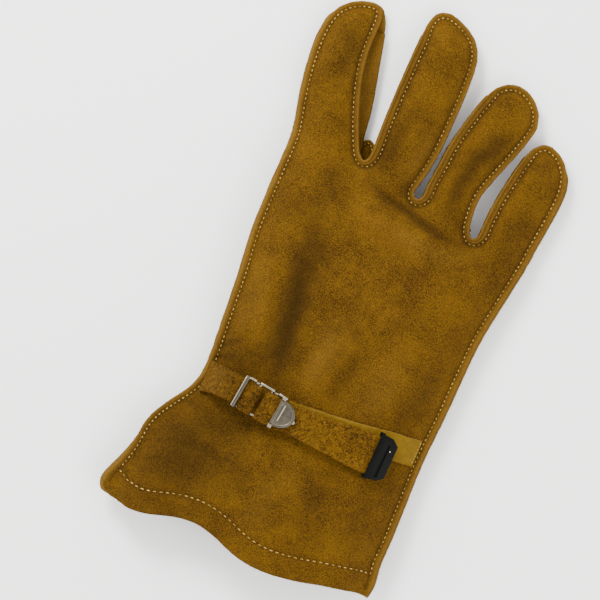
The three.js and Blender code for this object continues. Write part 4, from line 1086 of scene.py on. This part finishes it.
class GLOVE_OT_palm(bpy.types.Operator):
    """Palm, finger fronts and thumb"""

    bl_idname = "glove.palm"
    bl_label = "Palm and thumb"

    # What each piece is called, its node, its outer side, the softening of its face and of its rim
    ROWS = [
        ("palm", "palm_panel", -1, 1.8, 1.1),
        ("middle_front", "middle_finger_front", -1, 1.8, 1.8),
        ("ring_front", "ring_finger_front", -1, 1.8, 1.8),
        ("thumb_dish", "thumb_back", -1, 1.2, 1.4),
        ("thumb_cover", "thumb_front", 1, 1.2, 1.4),
    ]
    COARSER = 1.7  # than the back, since less of it shows

    def execute(self, context):
        sizes = context.scene.glove_leather
        for order, (name, node, side, blur, edge_blur) in enumerate(self.ROWS):
            rims, relief = face_of(node, side, edge_blur, blur)
            hem = name == "palm"
            step = self.COARSER * sizes.step / MM
            sheet = Sheet(rims, relief, side, step, panel_details(20 + 5 * order), hemmed=hem)
            wall = sizes.thickness / MM
            if hem:
                wall = hemmed(hem_span(sheet.rims[0].line), wall, sizes.hem_depth / MM)
            piece = sheet.build(name, wall, sizes.inner_step / MM)
            finish_piece(piece, finish("suede", suede_finish), node, slot="suede")
            shared[name] = sheet
        return {"FINISHED"}


class Slope:
    """A height over the plan that rises evenly."""

    def __init__(self, height, slope, start):
        self.height, self.slope, self.start = height, slope, start

    def at(self, points):
        return self.height + self.slope * (points[:, 1] - self.start)


class GLOVE_OT_web(bpy.types.Operator):
    """Web of the palm that shows between the index and middle fingers"""

    bl_idname = "glove.web"
    bl_label = "Crotch web"

    OUTLINE = [
        (-25.0, 64.5), (-24.2, 69.2), (-22.2, 72.2), (-19.4, 73.6), (-16.6, 72.4),
        (-14.6, 69.6), (-13.2, 64.5), (-15.8, 59.5), (-19.2, 57.5), (-22.8, 59.5),
    ]
    SLOPE = Slope(5.0, -0.12, 60)
    THICKNESS, INNER_STEP = 1.4, 2.2
    NARROWER = 0.7  # than the seam allowance

    def execute(self, context):
        sizes = context.scene.glove_leather
        outline = np.array(self.OUTLINE)
        rims = [Rim(np.column_stack([outline, self.SLOPE.at(outline)]), 0.9, 1)]
        step = sizes.seam_step / MM
        sheet = Sheet(rims, self.SLOPE, 1, step, panel_details(61), wider=-self.NARROWER)
        piece = sheet.build("crotch_web", self.THICKNESS, self.INNER_STEP)
        finish_piece(piece, finish("suede", suede_finish), slot="suede")
        shared["web"] = sheet
        return {"FINISHED"}


FORKS = ("fork_index_middle", "fork_middle_ring", "fork_ring_little")
WELTS = ("index_side_welt", "little_side_welt")


class GLOVE_OT_forks(bpy.types.Operator):
    """Side walls between the fingers, and the welts along the outer seams"""

    bl_idname = "glove.forks"
    bl_label = "Forks and welts"

    DRAWN_IN = 0.8  # the top of a wall, under the edge of the back
    ROLLED_OUT = 2.2

    def execute(self, context):
        rim = shared["back"].rims[0]

        def lip(places, normals):
            """Moves a side wall."""
            into, index = rim.nearest(places)
            top = 1 - smooth(rim.line[index, 2] - places[:, 2], 2.2, 3.2)
            outer = 1 - smooth(into, 0.6, 2.4)
            shift = np.zeros_like(places)
            # The wall beside the index finger rolls out, up to near the fingertip
            rolled = (rim.normals[index, 0] < -0.3) * (rim.line[index, 0] < -17)
            rolled = rolled * smooth(into, 1.6, 3.2) * (1 - smooth(places[:, 1], 108, 124))
            out = self.ROLLED_OUT * rolled - self.DRAWN_IN * top * outer
            shift[:, :2] = -rim.normals[index] * out[:, None]
            ripple = 0.1 * wobble(places, 1.6, 31) + 0.14 * wobble(places, 6, 32)
            return shift + normals * ripple[:, None]

        for name in FORKS:
            piece = softened(name.replace("fork", "side_wall"), name, 2, 0.75, lip)
            # painted light: the whole wall takes a flange's paler colour, which lifts the shade that falls
            # on it
            paint(piece, "flange", 1.0)
            finish_piece(piece, finish("suede", suede_finish), name, slot="suede")

        def fray(places, normals):
            """Moves a welt."""
            index = rim.nearest(places)[1]
            end = places[:, 1].max()
            inwards = 1.5 * smooth(places[:, 1], end - 9, end)
            layers = 0.16 * np.sin((places[:, 2] + 0.3 * wobble(places, 9, 37)) * 5.2)
            shift = normals * (layers + 0.1 * wobble(places, 1.4, 35) + 0.1 * wobble(places, 5, 36))[:, None]
            shift[:, :2] += rim.normals[index] * inwards[:, None]
            return shift

        for name in WELTS:
            piece = softened(name.replace("_side", "_piping"), name, 2, 0.6, fray)
            finish_piece(piece, finish("cut edge", cut_edge_finish), name, slot="raw_edge")
            shared["edges"].append(piece)
        return {"FINISHED"}


STRAP_LEAN = np.array([-1.3, 0.9, 0.0])  # how far the strap's loose end and the keeper are moved


class GLOVE_OT_straps(bpy.types.Operator):
    """Buckle tab and pull strap"""

    bl_idname = "glove.straps"
    bl_label = "Straps"

    NAPPED_BELOW = -62.4  # the pull strap's cut edges below this are as napped as its face
    TAB_SHADE = 0.28
    FROM_BAR, PAST_LEVER = (-9.6, -7), (11, 18)  # where the straps come to the rail and leave it
    AGAINST_RAIL = 1.6  # how far they are pushed there

    def execute(self, context):
        middle, axes = seat_of("buckle_frame")
        rim = shared["back"].rims[0]
        seam = context.scene.glove_leather.seam_allowance / MM

        def nap(places, normals):
            """Moves a strap."""
            rough = 0.16 * wobble(places, 1.5, 41) + 0.12 * wobble(places, 0.8, 42)
            rough += 0.2 * wobble(places, 9, 43)
            shift = normals * rough[:, None] + STRAP_LEAN * smooth(places[:, 0], 0, 40)[:, None]
            # The sewn ends stop at the stitches of the seam
            into, index = rim.nearest(places)
            short = (seam - 0.5) * (1 - np.clip(into / 9, 0, 1))
            shift[:, :2] += rim.normals[index] * short[:, None]
            # In the buckle the straps lie against its lower rail, and over it
            along, across, up = ((places - middle) @ axes).T
            inside = smooth(along, *self.FROM_BAR) * (1 - smooth(along, *self.PAST_LEVER))
            inside *= smooth(up, -1.4, -1)
            return shift - axes[:, 1] * (self.AGAINST_RAIL * inside * smooth(-across, 1.5, 6.6))[:, None]

        flesh = finish("strap suede", lambda: suede_finish("strap leather, flesh side", 1.4, 1.5 * MM))
        grain, edge = finish("grain", grain_finish), finish("cut edge", cut_edge_finish)
        tab = softened("tab", "buckle_tab", 4, 0.85, nap)
        dress(tab, flesh, grain, edge)
        # painted shade laid evenly over the whole tab
        paint(tab, "painted_shading", self.TAB_SHADE)
        strap = softened("strap", "pull_strap", 4, 0.85, nap)
        dress(strap, flesh, grain, edge)
        for piece, node, slot in ((tab, "buckle_tab", "suede"), (strap, "pull_strap", "smooth_leather")):
            top = max(piece.data.polygons, key=lambda face: face.center.z)
            if top.material_index == 1:
                dress(piece, grain, flesh, edge)
            for face in piece.data.polygons:
                if face.material_index == 2 and (piece is tab or face.center.y < self.NAPPED_BELOW * MM):
                    face.material_index = top.material_index
            finish_piece(piece, None, node, slot=slot)
        shared["strap"] = strap
        shared["edges"] += [tab, strap]
        return {"FINISHED"}


class GLOVE_OT_fibres(bpy.types.Operator):
    """Loose fibres that stand out of the cut edges"""

    bl_idname = "glove.fibres"
    bl_label = "Loose fibres"

    PER_AREA = 1.1  # fibres to a square millimetre of edge
    LENGTHS = (0.35, 1.15)
    GIRTH = 0.055
    STEEPEST = 0.45  # how far the normal of an edge may rise out of the plan
    ASIDE = (0.31, 0.17, 0.93)  # a direction that no fibre takes

    def execute(self, context):
        chance = np.random.default_rng(5)
        places, faces = [], []
        for piece in shared["edges"]:
            for face in piece.data.polygons:
                if abs(face.normal.z) > self.STEEPEST or chance.random() > face.area / MM**2 * self.PER_AREA:
                    continue
                root, normal = np.array(face.center) / MM, np.array(face.normal)
                lean, bend = chance.normal(0, 0.5, 3), chance.normal(0, 0.35, 3)
                way = unit(normal + lean * 0.8)
                length = chance.uniform(*self.LENGTHS)
                beside = unit(np.cross(way, self.ASIDE))
                above = np.cross(way, beside)
                start = len(places)
                for share, girth in ((-0.25, 1.0), (0.5, 0.8)):
                    spot = root + way * share * length + bend * max(share, 0) ** 2 * length
                    for turn in range(3):
                        angle = 2 * math.pi * turn / 3
                        radial = beside * math.cos(angle) + above * math.sin(angle)
                        places.append(spot + radial * girth * self.GIRTH)
                places.append(root + (way + bend) * length)
                a, b, tip = start, start + 3, start + 6
                faces.append([a, a + 2, a + 1])
                for turn in range(3):
                    following = (turn + 1) % 3
                    faces.append([a + turn, a + following, b + following, b + turn])
                    faces.append([b + turn, b + following, tip])
        finish_piece(add_mesh("edge_fibres", places, faces), finish("cut edge", cut_edge_finish))
        return {"FINISHED"}


class GLOVE_OT_stitches(bpy.types.Operator):
    """Stitches of all the seams"""

    bl_idname = "glove.stitches"
    bl_label = "Stitches"

    FORKED_SINK = 0.2  # of the thread along the forks, in thread diameters
    HEM_SET_BACK = 0.8  # of the hem's row from the turned edge
    OVER_STRAP = (1.6, 1.7)  # how much further in the row over the strap is, and its pitch
    WEB_ROW = (2.2, 66, 1.9)  # inside the web's rim, from this far up, and its pitch

    def row(self, sheet, line, pitch):
        """A row of stitches along a line in the plan, on the outer face of a sheet."""
        sink = np.zeros(len(line))
        if sheet is shared["back"]:
            sink = self.FORKED_SINK * shared["forked"][sheet.nearest(line)[1]]
        return np.column_stack([line, sheet.height(line)[0]]), sheet.outward(line), sink, pitch

    def sewn(self, sheet, span=None, plus=0.0):
        """The line where a sheet is sewn, or a span of it, and so much further in."""
        rim = sheet.rims[0]
        line = rim.line[:, :2] + rim.normals * (sheet.margins[0] + plus)[:, None]
        return rounded(line if span is None else line[span], 0.8, False)

    def across(self, piece, sheet, plus, pitch):
        """A row of stitches over a strap, so much further in than a sheet's seam."""
        places = [vertex.co / MM for vertex in piece.data.vertices]
        tree = BVHTree.FromPolygons(places, [face.vertices[:] for face in piece.data.polygons])
        down = Vector((0, 0, -1))
        found = [tree.ray_cast(Vector((x, y, 99)), down)[:2] for x, y in self.sewn(sheet, plus=plus)]
        found = [(spot, up) for spot, up in found if spot is not None][3:-3]
        line, ups = (np.array([pair[i][:] for pair in found]) for i in (0, 1))
        return line, ups, np.zeros(len(line)), pitch

    def execute(self, context):
        sizes, thread = context.scene.glove_leather, context.scene.glove_thread
        allowance = sizes.seam_allowance / MM
        material = finish("thread", thread_finish)
        pitch = thread.pitch / MM
        for name, piece in (("back", "back_thread"), ("palm", "palm_thread")):
            sheet = shared[name]
            line = sheet.rims[0].line
            left, right = hem_corners(line)
            order = np.arange(right, left + (len(line) if left < right else 0)) % len(line)
            depth = sizes.hem_depth / MM - self.HEM_SET_BACK
            clear = round(depth / FINE_STEP)
            hem = hem_span(line)
            turned = rounded((hem[:, :2] + left_normals(hem, False) * depth)[2:-2], 2.5, False)
            # The row of the hem runs on at its ends to the seams
            ahead, behind = turned[0] - turned[20], turned[-1] - turned[-21]
            steps = np.arange(1, 20)[:, None] / 20
            turned = np.vstack([turned[0] + ahead * steps[::-1], turned, turned[-1] + behind * steps])
            turned = rounded(turned, 1.2, False)
            turned = turned[sheet.nearest(turned)[0] > allowance - 0.2]
            rows = [
                self.row(sheet, self.sewn(sheet, order[clear:-clear]), pitch),
                self.row(sheet, turned, thread.hem_pitch / MM),
            ]
            for hole in sheet.rims[1:]:
                ring = rounded(hole.line[:, :2] + hole.normals * allowance, 0.8)
                rows.append(self.row(sheet, ring, pitch))
            finish_piece(stitches(piece, rows), material)
        fronts = [shared[name] for name in ("middle_front", "ring_front", "thumb_dish")]
        rows = [self.row(sheet, self.sewn(sheet), pitch) for sheet in fronts]
        web = shared["web"]
        into, start, web_pitch = self.WEB_ROW
        top = web.rims[0].line[:, :2] + web.rims[0].normals * into
        rows.append(self.row(web, top[top[:, 1] > start], web_pitch))
        rows.append(self.across(shared["strap"], shared["back"], *self.OVER_STRAP))
        finish_piece(stitches("front_thread", rows), material)
        return {"FINISHED"}


# Hard pieces, in the axes of their solid: x along the strap, y across it and z up


def seat_of(node):
    """Middle and axes of a hard CAD node, from its faces."""
    places, triangles = node_mesh(node)
    faces = face_vectors(places, triangles)
    ways = unit(faces)
    facing = lambda lead: faces[ways @ np.array(lead) > 0.85].sum(axis=0)
    up = unit(facing((0, 0, 1)))
    across = facing((0.1, 0.99, 0))
    across = unit(across - up * (across @ up))
    axes = np.stack([np.cross(across, up), across, up], axis=1)
    local = places @ axes
    middle = axes @ ((local.min(axis=0) + local.max(axis=0)) / 2)
    return middle, axes


def seat(piece, middle, axes):
    """Moves a piece from the buckle's axes to its place."""
    matrix = Matrix(axes.tolist()).to_4x4()
    matrix.translation = Vector(middle) * MM
    piece.data.transform(matrix)
    piece.data.update()


def only(piece):
    """Selects this piece and no other."""
    bpy.ops.object.select_all(action="DESELECT")
    bpy.context.view_layer.objects.active = piece
    piece.select_set(True)


def primitive(kind, extent, centre, turn=None, **settings):
    """A primitive of that size, in millimetres, at that place."""
    bpy.ops.object.select_all(action="DESELECT")
    getattr(bpy.ops.mesh, f"primitive_{kind}_add")(**settings)
    bpy.ops.object.mode_set(mode="EDIT")
    bpy.ops.mesh.select_all(action="SELECT")
    if turn:
        bpy.ops.transform.rotate(value=math.pi / 2, orient_axis=turn, center_override=(0, 0, 0))
    bpy.ops.transform.resize(value=[e * MM for e in extent], center_override=(0, 0, 0))
    bpy.ops.transform.translate(value=[c * MM for c in centre])
    done()
    return bpy.context.active_object


def block(extent, centre):
    return primitive("cube", extent, centre, size=1)


def rod(extent, centre, sides, turn=None):
    return primitive("cylinder", extent, centre, turn, vertices=sides, radius=0.5, depth=1)


def pick(piece, test):
    """Enters edit mode with only those points selected whose place in millimetres passes."""
    only(piece)
    bpy.ops.object.mode_set(mode="EDIT")
    bpy.ops.mesh.select_mode(type="VERT")
    bpy.ops.mesh.select_all(action="DESELECT")
    body = bmesh.from_edit_mesh(piece.data)
    for vert in body.verts:
        vert.select = test(vert.co / MM)
    body.select_flush(True)
    bmesh.update_edit_mesh(piece.data)


def done():
    bpy.ops.object.mode_set(mode="OBJECT")


def scored(piece, stations):
    """Cuts the faces of a piece across at the stations, in millimetres along x."""
    only(piece)
    bpy.ops.object.mode_set(mode="EDIT")
    for station in stations:
        bpy.ops.mesh.select_all(action="SELECT")
        bpy.ops.mesh.bisect(plane_co=(station * MM, 0, 0), plane_no=(1, 0, 0))
    done()


def modified(piece, kind, **settings):
    """Adds a modifier with those settings, and applies it."""
    only(piece)
    bpy.ops.object.modifier_add(type=kind)
    modifier = piece.modifiers[-1]
    for title, value in settings.items():
        setattr(modifier, title, value)
    bpy.ops.object.modifier_apply(modifier=modifier.name)
    return piece


def eased(piece, width, segments=2):
    """Rounds the sharp edges of a piece."""
    sharp = {"limit_method": "ANGLE", "angle_limit": math.radians(35)}
    return modified(piece, "BEVEL", width=width * MM, segments=segments, **sharp)


def cut(piece, cutter):
    """Takes the cutter out of the piece."""
    modified(piece, "BOOLEAN", operation="DIFFERENCE", solver="EXACT", object=cutter)
    bpy.data.objects.remove(cutter)


def gathered(name, pieces):
    """Joins pieces into one object."""
    only(pieces[0])
    for piece in pieces[1:]:
        piece.select_set(True)
    bpy.ops.object.join()
    whole = bpy.context.active_object
    whole.name = whole.data.name = name
    bpy.ops.object.shade_smooth_by_angle(angle=math.radians(40))
    return whole


class GLOVE_OT_buckle(bpy.types.Operator):
    """Stamped steel buckle: stepped rails, bars and the lever plate"""

    bl_idname = "glove.buckle"
    bl_label = "Buckle"

    FOOT = -2.4  # bottom of the rails
    RAIL_AT = 7.6  # across, from the middle of the buckle
    # Stations of a rail: where each is along the buckle, how far it stands out, and its top
    RAIL = [
        (-11.7, 0.0, 1.9), (-9.9, 0.0, 1.9), (-9.0, 0.35, 0.9), (-6.2, 0.35, 0.9),
        (-5.6, -0.35, -0.7), (-4.3, -0.35, -0.7), (-3.7, 0.5, 0.8), (4.0, 0.5, 0.8),
        (4.7, -0.35, -0.7), (6.2, -0.35, -0.7), (6.9, 0.4, 1.0), (11.7, 0.1, 1.0),
    ]
    LOW_FROM, LOW_TOP, LOW_OUT = -9.5, -1.1, 0.3  # the lower rail's, where the straps lie over it
    BAR_AT = 3.35  # along, to either side of the middle

    def rail(self, side):
        """A rail: a bar cut across at its stations, whose cuts are then moved out and up."""
        start, end = self.RAIL[0][0], self.RAIL[-1][0]
        centre = ((start + end) / 2, self.RAIL_AT * side + 0.35, self.FOOT + 0.5)
        bar = block((end - start, 1.0, 1.0), centre)
        scored(bar, [row[0] for row in self.RAIL[1:-1]])
        for station, out, top in self.RAIL:
            if side < 0 and station > self.LOW_FROM:
                out, top = out * self.LOW_OUT, min(top, self.LOW_TOP)
            pick(bar, lambda place: abs(place.x - station) < 0.05)
            bpy.ops.transform.translate(value=(0, side * out * MM, 0))
            done()
            pick(bar, lambda place: abs(place.x - station) < 0.05 and place.z > self.FOOT + 0.9)
            bpy.ops.transform.translate(value=(0, 0, (top - self.FOOT - 1) * MM))
            done()
        return eased(bar, 0.22)

    def plate(self, satin, wear_and_highlight):
        """The lever: a half round plate with a sunk face, a ridge and a nib."""
        plate = primitive("cylinder", (8.4, 6.9, 1.2), (11.2, 0, 2.05), vertices=64, radius=1, depth=1)
        pick(plate, lambda place: place.x < 11.15)
        bpy.ops.transform.resize(value=(0, 1, 1), center_override=(9.3 * MM, 0, 0))
        bpy.ops.mesh.remove_doubles(threshold=0.02 * MM)
        done()
        only(plate)
        bpy.ops.object.mode_set(mode="EDIT")
        bpy.ops.mesh.select_mode(type="FACE")
        bpy.ops.mesh.select_all(action="DESELECT")
        body = bmesh.from_edit_mesh(plate.data)
        for face in body.faces:
            face.select = face.normal.z > 0.9
        bmesh.update_edit_mesh(plate.data)
        bpy.ops.mesh.inset(thickness=1.0 * MM, depth=0)
        bpy.ops.mesh.inset(thickness=0.35 * MM, depth=-0.35 * MM)
        done()
        coat(eased(plate, 0.15), satin)
        ridge = rod((0.75, 8.6, 0.9), (12.3, 0.6, 2.35), 12, turn="X")
        nib = rod((1.9, 1.9, 0.8), (19.5, -0.6, 2.0), 16)
        ears = [eased(block((1.9, 2.0, 1.2), (10.2, side * self.RAIL_AT, 2.0)), 0.2) for side in (-1, 1)]
        # painted highlight: the ridge, the nib and the ears take the brighter copy of the steel
        bright = [coat(part, wear_and_highlight) for part in (ridge, eased(nib, 0.2), *ears)]
        return gathered("lever_plate", [plate, *bright])

    def execute(self, context):
        middle, axes = seat_of("buckle_frame")
        top = eased(block((1.9, 17.2, 1.3), (-10.85, 0, 1.95)), 0.3, 3)
        cut(top, block((0.35, 15.4, 0.5), (-10.75, 0, 2.65)))
        bars = [rod((1.4, 15.6, 1.4), (side * self.BAR_AT, 0, -1.95), 20, turn="X") for side in (-1, 1)]
        colours = context.scene.glove_colours
        # painted highlight: a brighter copy of the steel, which the rails, the lip and the bars take
        wear_and_highlight = steel_finish("nickel-plated steel, worn bright", colours.highlight_steel)
        satin = steel_finish("nickel-plated steel, satin", colours.steel)
        lip = eased(block((0.5, 16.4, 0.5), (-11.5, 0, 2.55)), 0.15)
        bright = (coat(part, wear_and_highlight) for part in (self.rail(1), self.rail(-1), lip, *bars))
        frame_piece = gathered("buckle", [coat(top, satin), *bright])
        plate = self.plate(satin, wear_and_highlight)
        shared["worn steel"] = wear_and_highlight
        for piece, node in ((frame_piece, "buckle_frame"), (plate, "buckle_plate")):
            seat(piece, middle, axes)
            finish_piece(piece, None, node, slot="buckle_steel")
        return {"FINISHED"}


class GLOVE_OT_keeper(bpy.types.Operator):
    """Black sleeve on the end of the strap"""

    bl_idname = "glove.keeper"
    bl_label = "Keeper"

    SHOULDER = 1.4  # where its sides turn in towards the strap
    END_NARROWING, SHOULDER_WIDENING = 0.72, 1.16

    def execute(self, context):
        middle, axes = seat_of("strap_keeper")
        middle = middle + STRAP_LEAN
        body = block((10, 23.6, 4.9), (0, 0, 0))
        pick(body, lambda place: place.x > 4)
        bpy.ops.transform.resize(value=(1, self.END_NARROWING, 1), center_override=(0, 0, 0))
        done()
        scored(body, [self.SHOULDER])
        pick(body, lambda place: abs(place.x - self.SHOULDER) < 0.05)
        bpy.ops.transform.resize(value=(1, self.SHOULDER_WIDENING, 1), center_override=(0, 0, 0))
        done()
        cut(body, block((8.9, 21.4, 2.7), (-1.45, 0, 0)))  # the pocket for the strap's end
        cut(body, block((1.4, 17.0, 1.2), (0.3, -0.9, 2.2)))  # the slot in its top
        eased(body, 0.3)
        lugs = [eased(block((2.4, 1.8, 3.2), (-4.4, side * 11.4, 0.6)), 0.4) for side in (-1, 1)]
        ball = {"segments": 16, "ring_count": 8, "radius": 0.5}
        rivet = primitive("uv_sphere", (0.9, 0.9, 0.8), (2.1, 4.9, 2.5), **ball)
        # painted highlight: the rivet takes the brighter copy of the steel
        coat(rivet, shared["worn steel"])
        enamel = enamel_finish()
        piece = gathered("keeper", [*(coat(part, enamel) for part in (body, *lugs)), rivet])
        seat(piece, middle, axes)
        finish_piece(piece, None, "strap_keeper", slot="keeper_black")
        return {"FINISHED"}


class GLOVE_OT_stage(bpy.types.Operator):
    """Floor, lights and camera"""

    bl_idname = "glove.stage"
    bl_label = "Stage"

    # Name, place, size and power of each
    LAMPS = [("key", (-0.6, 0.55, 0.75), 0.4, 22), ("fill", (0.75, -0.35, 0.8), 0.9, 9)]
    AIM = (-21.97, -14.65, 9)  # of the camera, from the middle of the glove's footprint

    def execute(self, context):
        settings = context.scene.glove_stage
        bpy.ops.object.select_all(action="DESELECT")
        bpy.ops.mesh.primitive_plane_add(size=6)
        floor = context.active_object
        floor.name = "floor"
        floor.data.materials.append(board_finish())
        world = bpy.data.worlds.new("soft room")
        world.use_nodes = True
        tree = world.node_tree
        # A white room with a darker ceiling, which polished steel that faces up gives back
        way = add_node(tree, "ShaderNodeTexCoord", output="Generated")
        up = add_node(tree, "ShaderNodeSeparateXYZ", {"Vector": way}, output="Z")
        rise = {"Value": up, "From Min": 0.75, "From Max": 0.97, "To Min": 2.7, "To Max": 0.9}
        glow = add_node(tree, "ShaderNodeMapRange", rise, interpolation_type="SMOOTHSTEP")
        room = tree.nodes["Background"]
        room.inputs["Color"].default_value = (1, 1, 1, 1)
        tree.links.new(glow, room.inputs["Strength"])
        context.scene.world = world
        for lamp in self.LAMPS:
            self.softbox(context, *lamp)
        camera = bpy.data.cameras.new("camera")
        camera.lens = settings.lens
        camera.sensor_width = 36
        camera.clip_start = 0.01
        view = bpy.data.objects.new("camera", camera)
        context.scene.collection.objects.link(view)
        height = settings.view_width * settings.lens / camera.sensor_width
        view.location = (cad_low + cad_high) / 2 + Vector(self.AIM) * MM
        view.location.z = height + self.AIM[2] * MM
        view.rotation_euler = (0, 0, settings.view_turn)
        context.scene.camera = view
        return {"FINISHED"}

    def softbox(self, context, name, place, size, power):
        light = bpy.data.lights.new(name, "AREA")
        light.size = size
        light.energy = power
        lamp = bpy.data.objects.new(name, light)
        context.scene.collection.objects.link(lamp)
        lamp.location = place
        lamp.rotation_euler = Vector(place).to_track_quat("Z", "Y").to_euler()


class GLOVE_PT_panel(bpy.types.Panel):
    """Steps of the glove"""

    bl_label = "Glove"
    bl_idname = "GLOVE_PT_panel"
    bl_space_type = "VIEW_3D"
    bl_region_type = "UI"
    bl_category = "Glove"

    def draw(self, context):
        for step in STEPS:
            self.layout.operator(step.bl_idname)


SETTINGS = {
    "glove_leather": GLOVE_PG_leather,
    "glove_thread": GLOVE_PG_thread,
    "glove_colours": GLOVE_PG_colours,
    "glove_stage": GLOVE_PG_stage,
}
STEPS = [
    GLOVE_OT_stage,
    GLOVE_OT_back,
    GLOVE_OT_palm,
    GLOVE_OT_web,
    GLOVE_OT_forks,
    GLOVE_OT_straps,
    GLOVE_OT_fibres,
    GLOVE_OT_stitches,
    GLOVE_OT_buckle,
    GLOVE_OT_keeper,
]


def register():
    for cls in [*SETTINGS.values(), *STEPS, GLOVE_PT_panel]:
        bpy.utils.register_class(cls)
    for name, cls in SETTINGS.items():
        setattr(bpy.types.Scene, name, bpy.props.PointerProperty(type=cls))


def unregister():
    for name in SETTINGS:
        delattr(bpy.types.Scene, name)
    for cls in reversed([*SETTINGS.values(), *STEPS, GLOVE_PT_panel]):
        bpy.utils.unregister_class(cls)


def main():
    register()
    for step in STEPS:
        group, action = step.bl_idname.split(".")
        getattr(getattr(bpy.ops, group), action)()


if __name__ == "__main__":
    main()
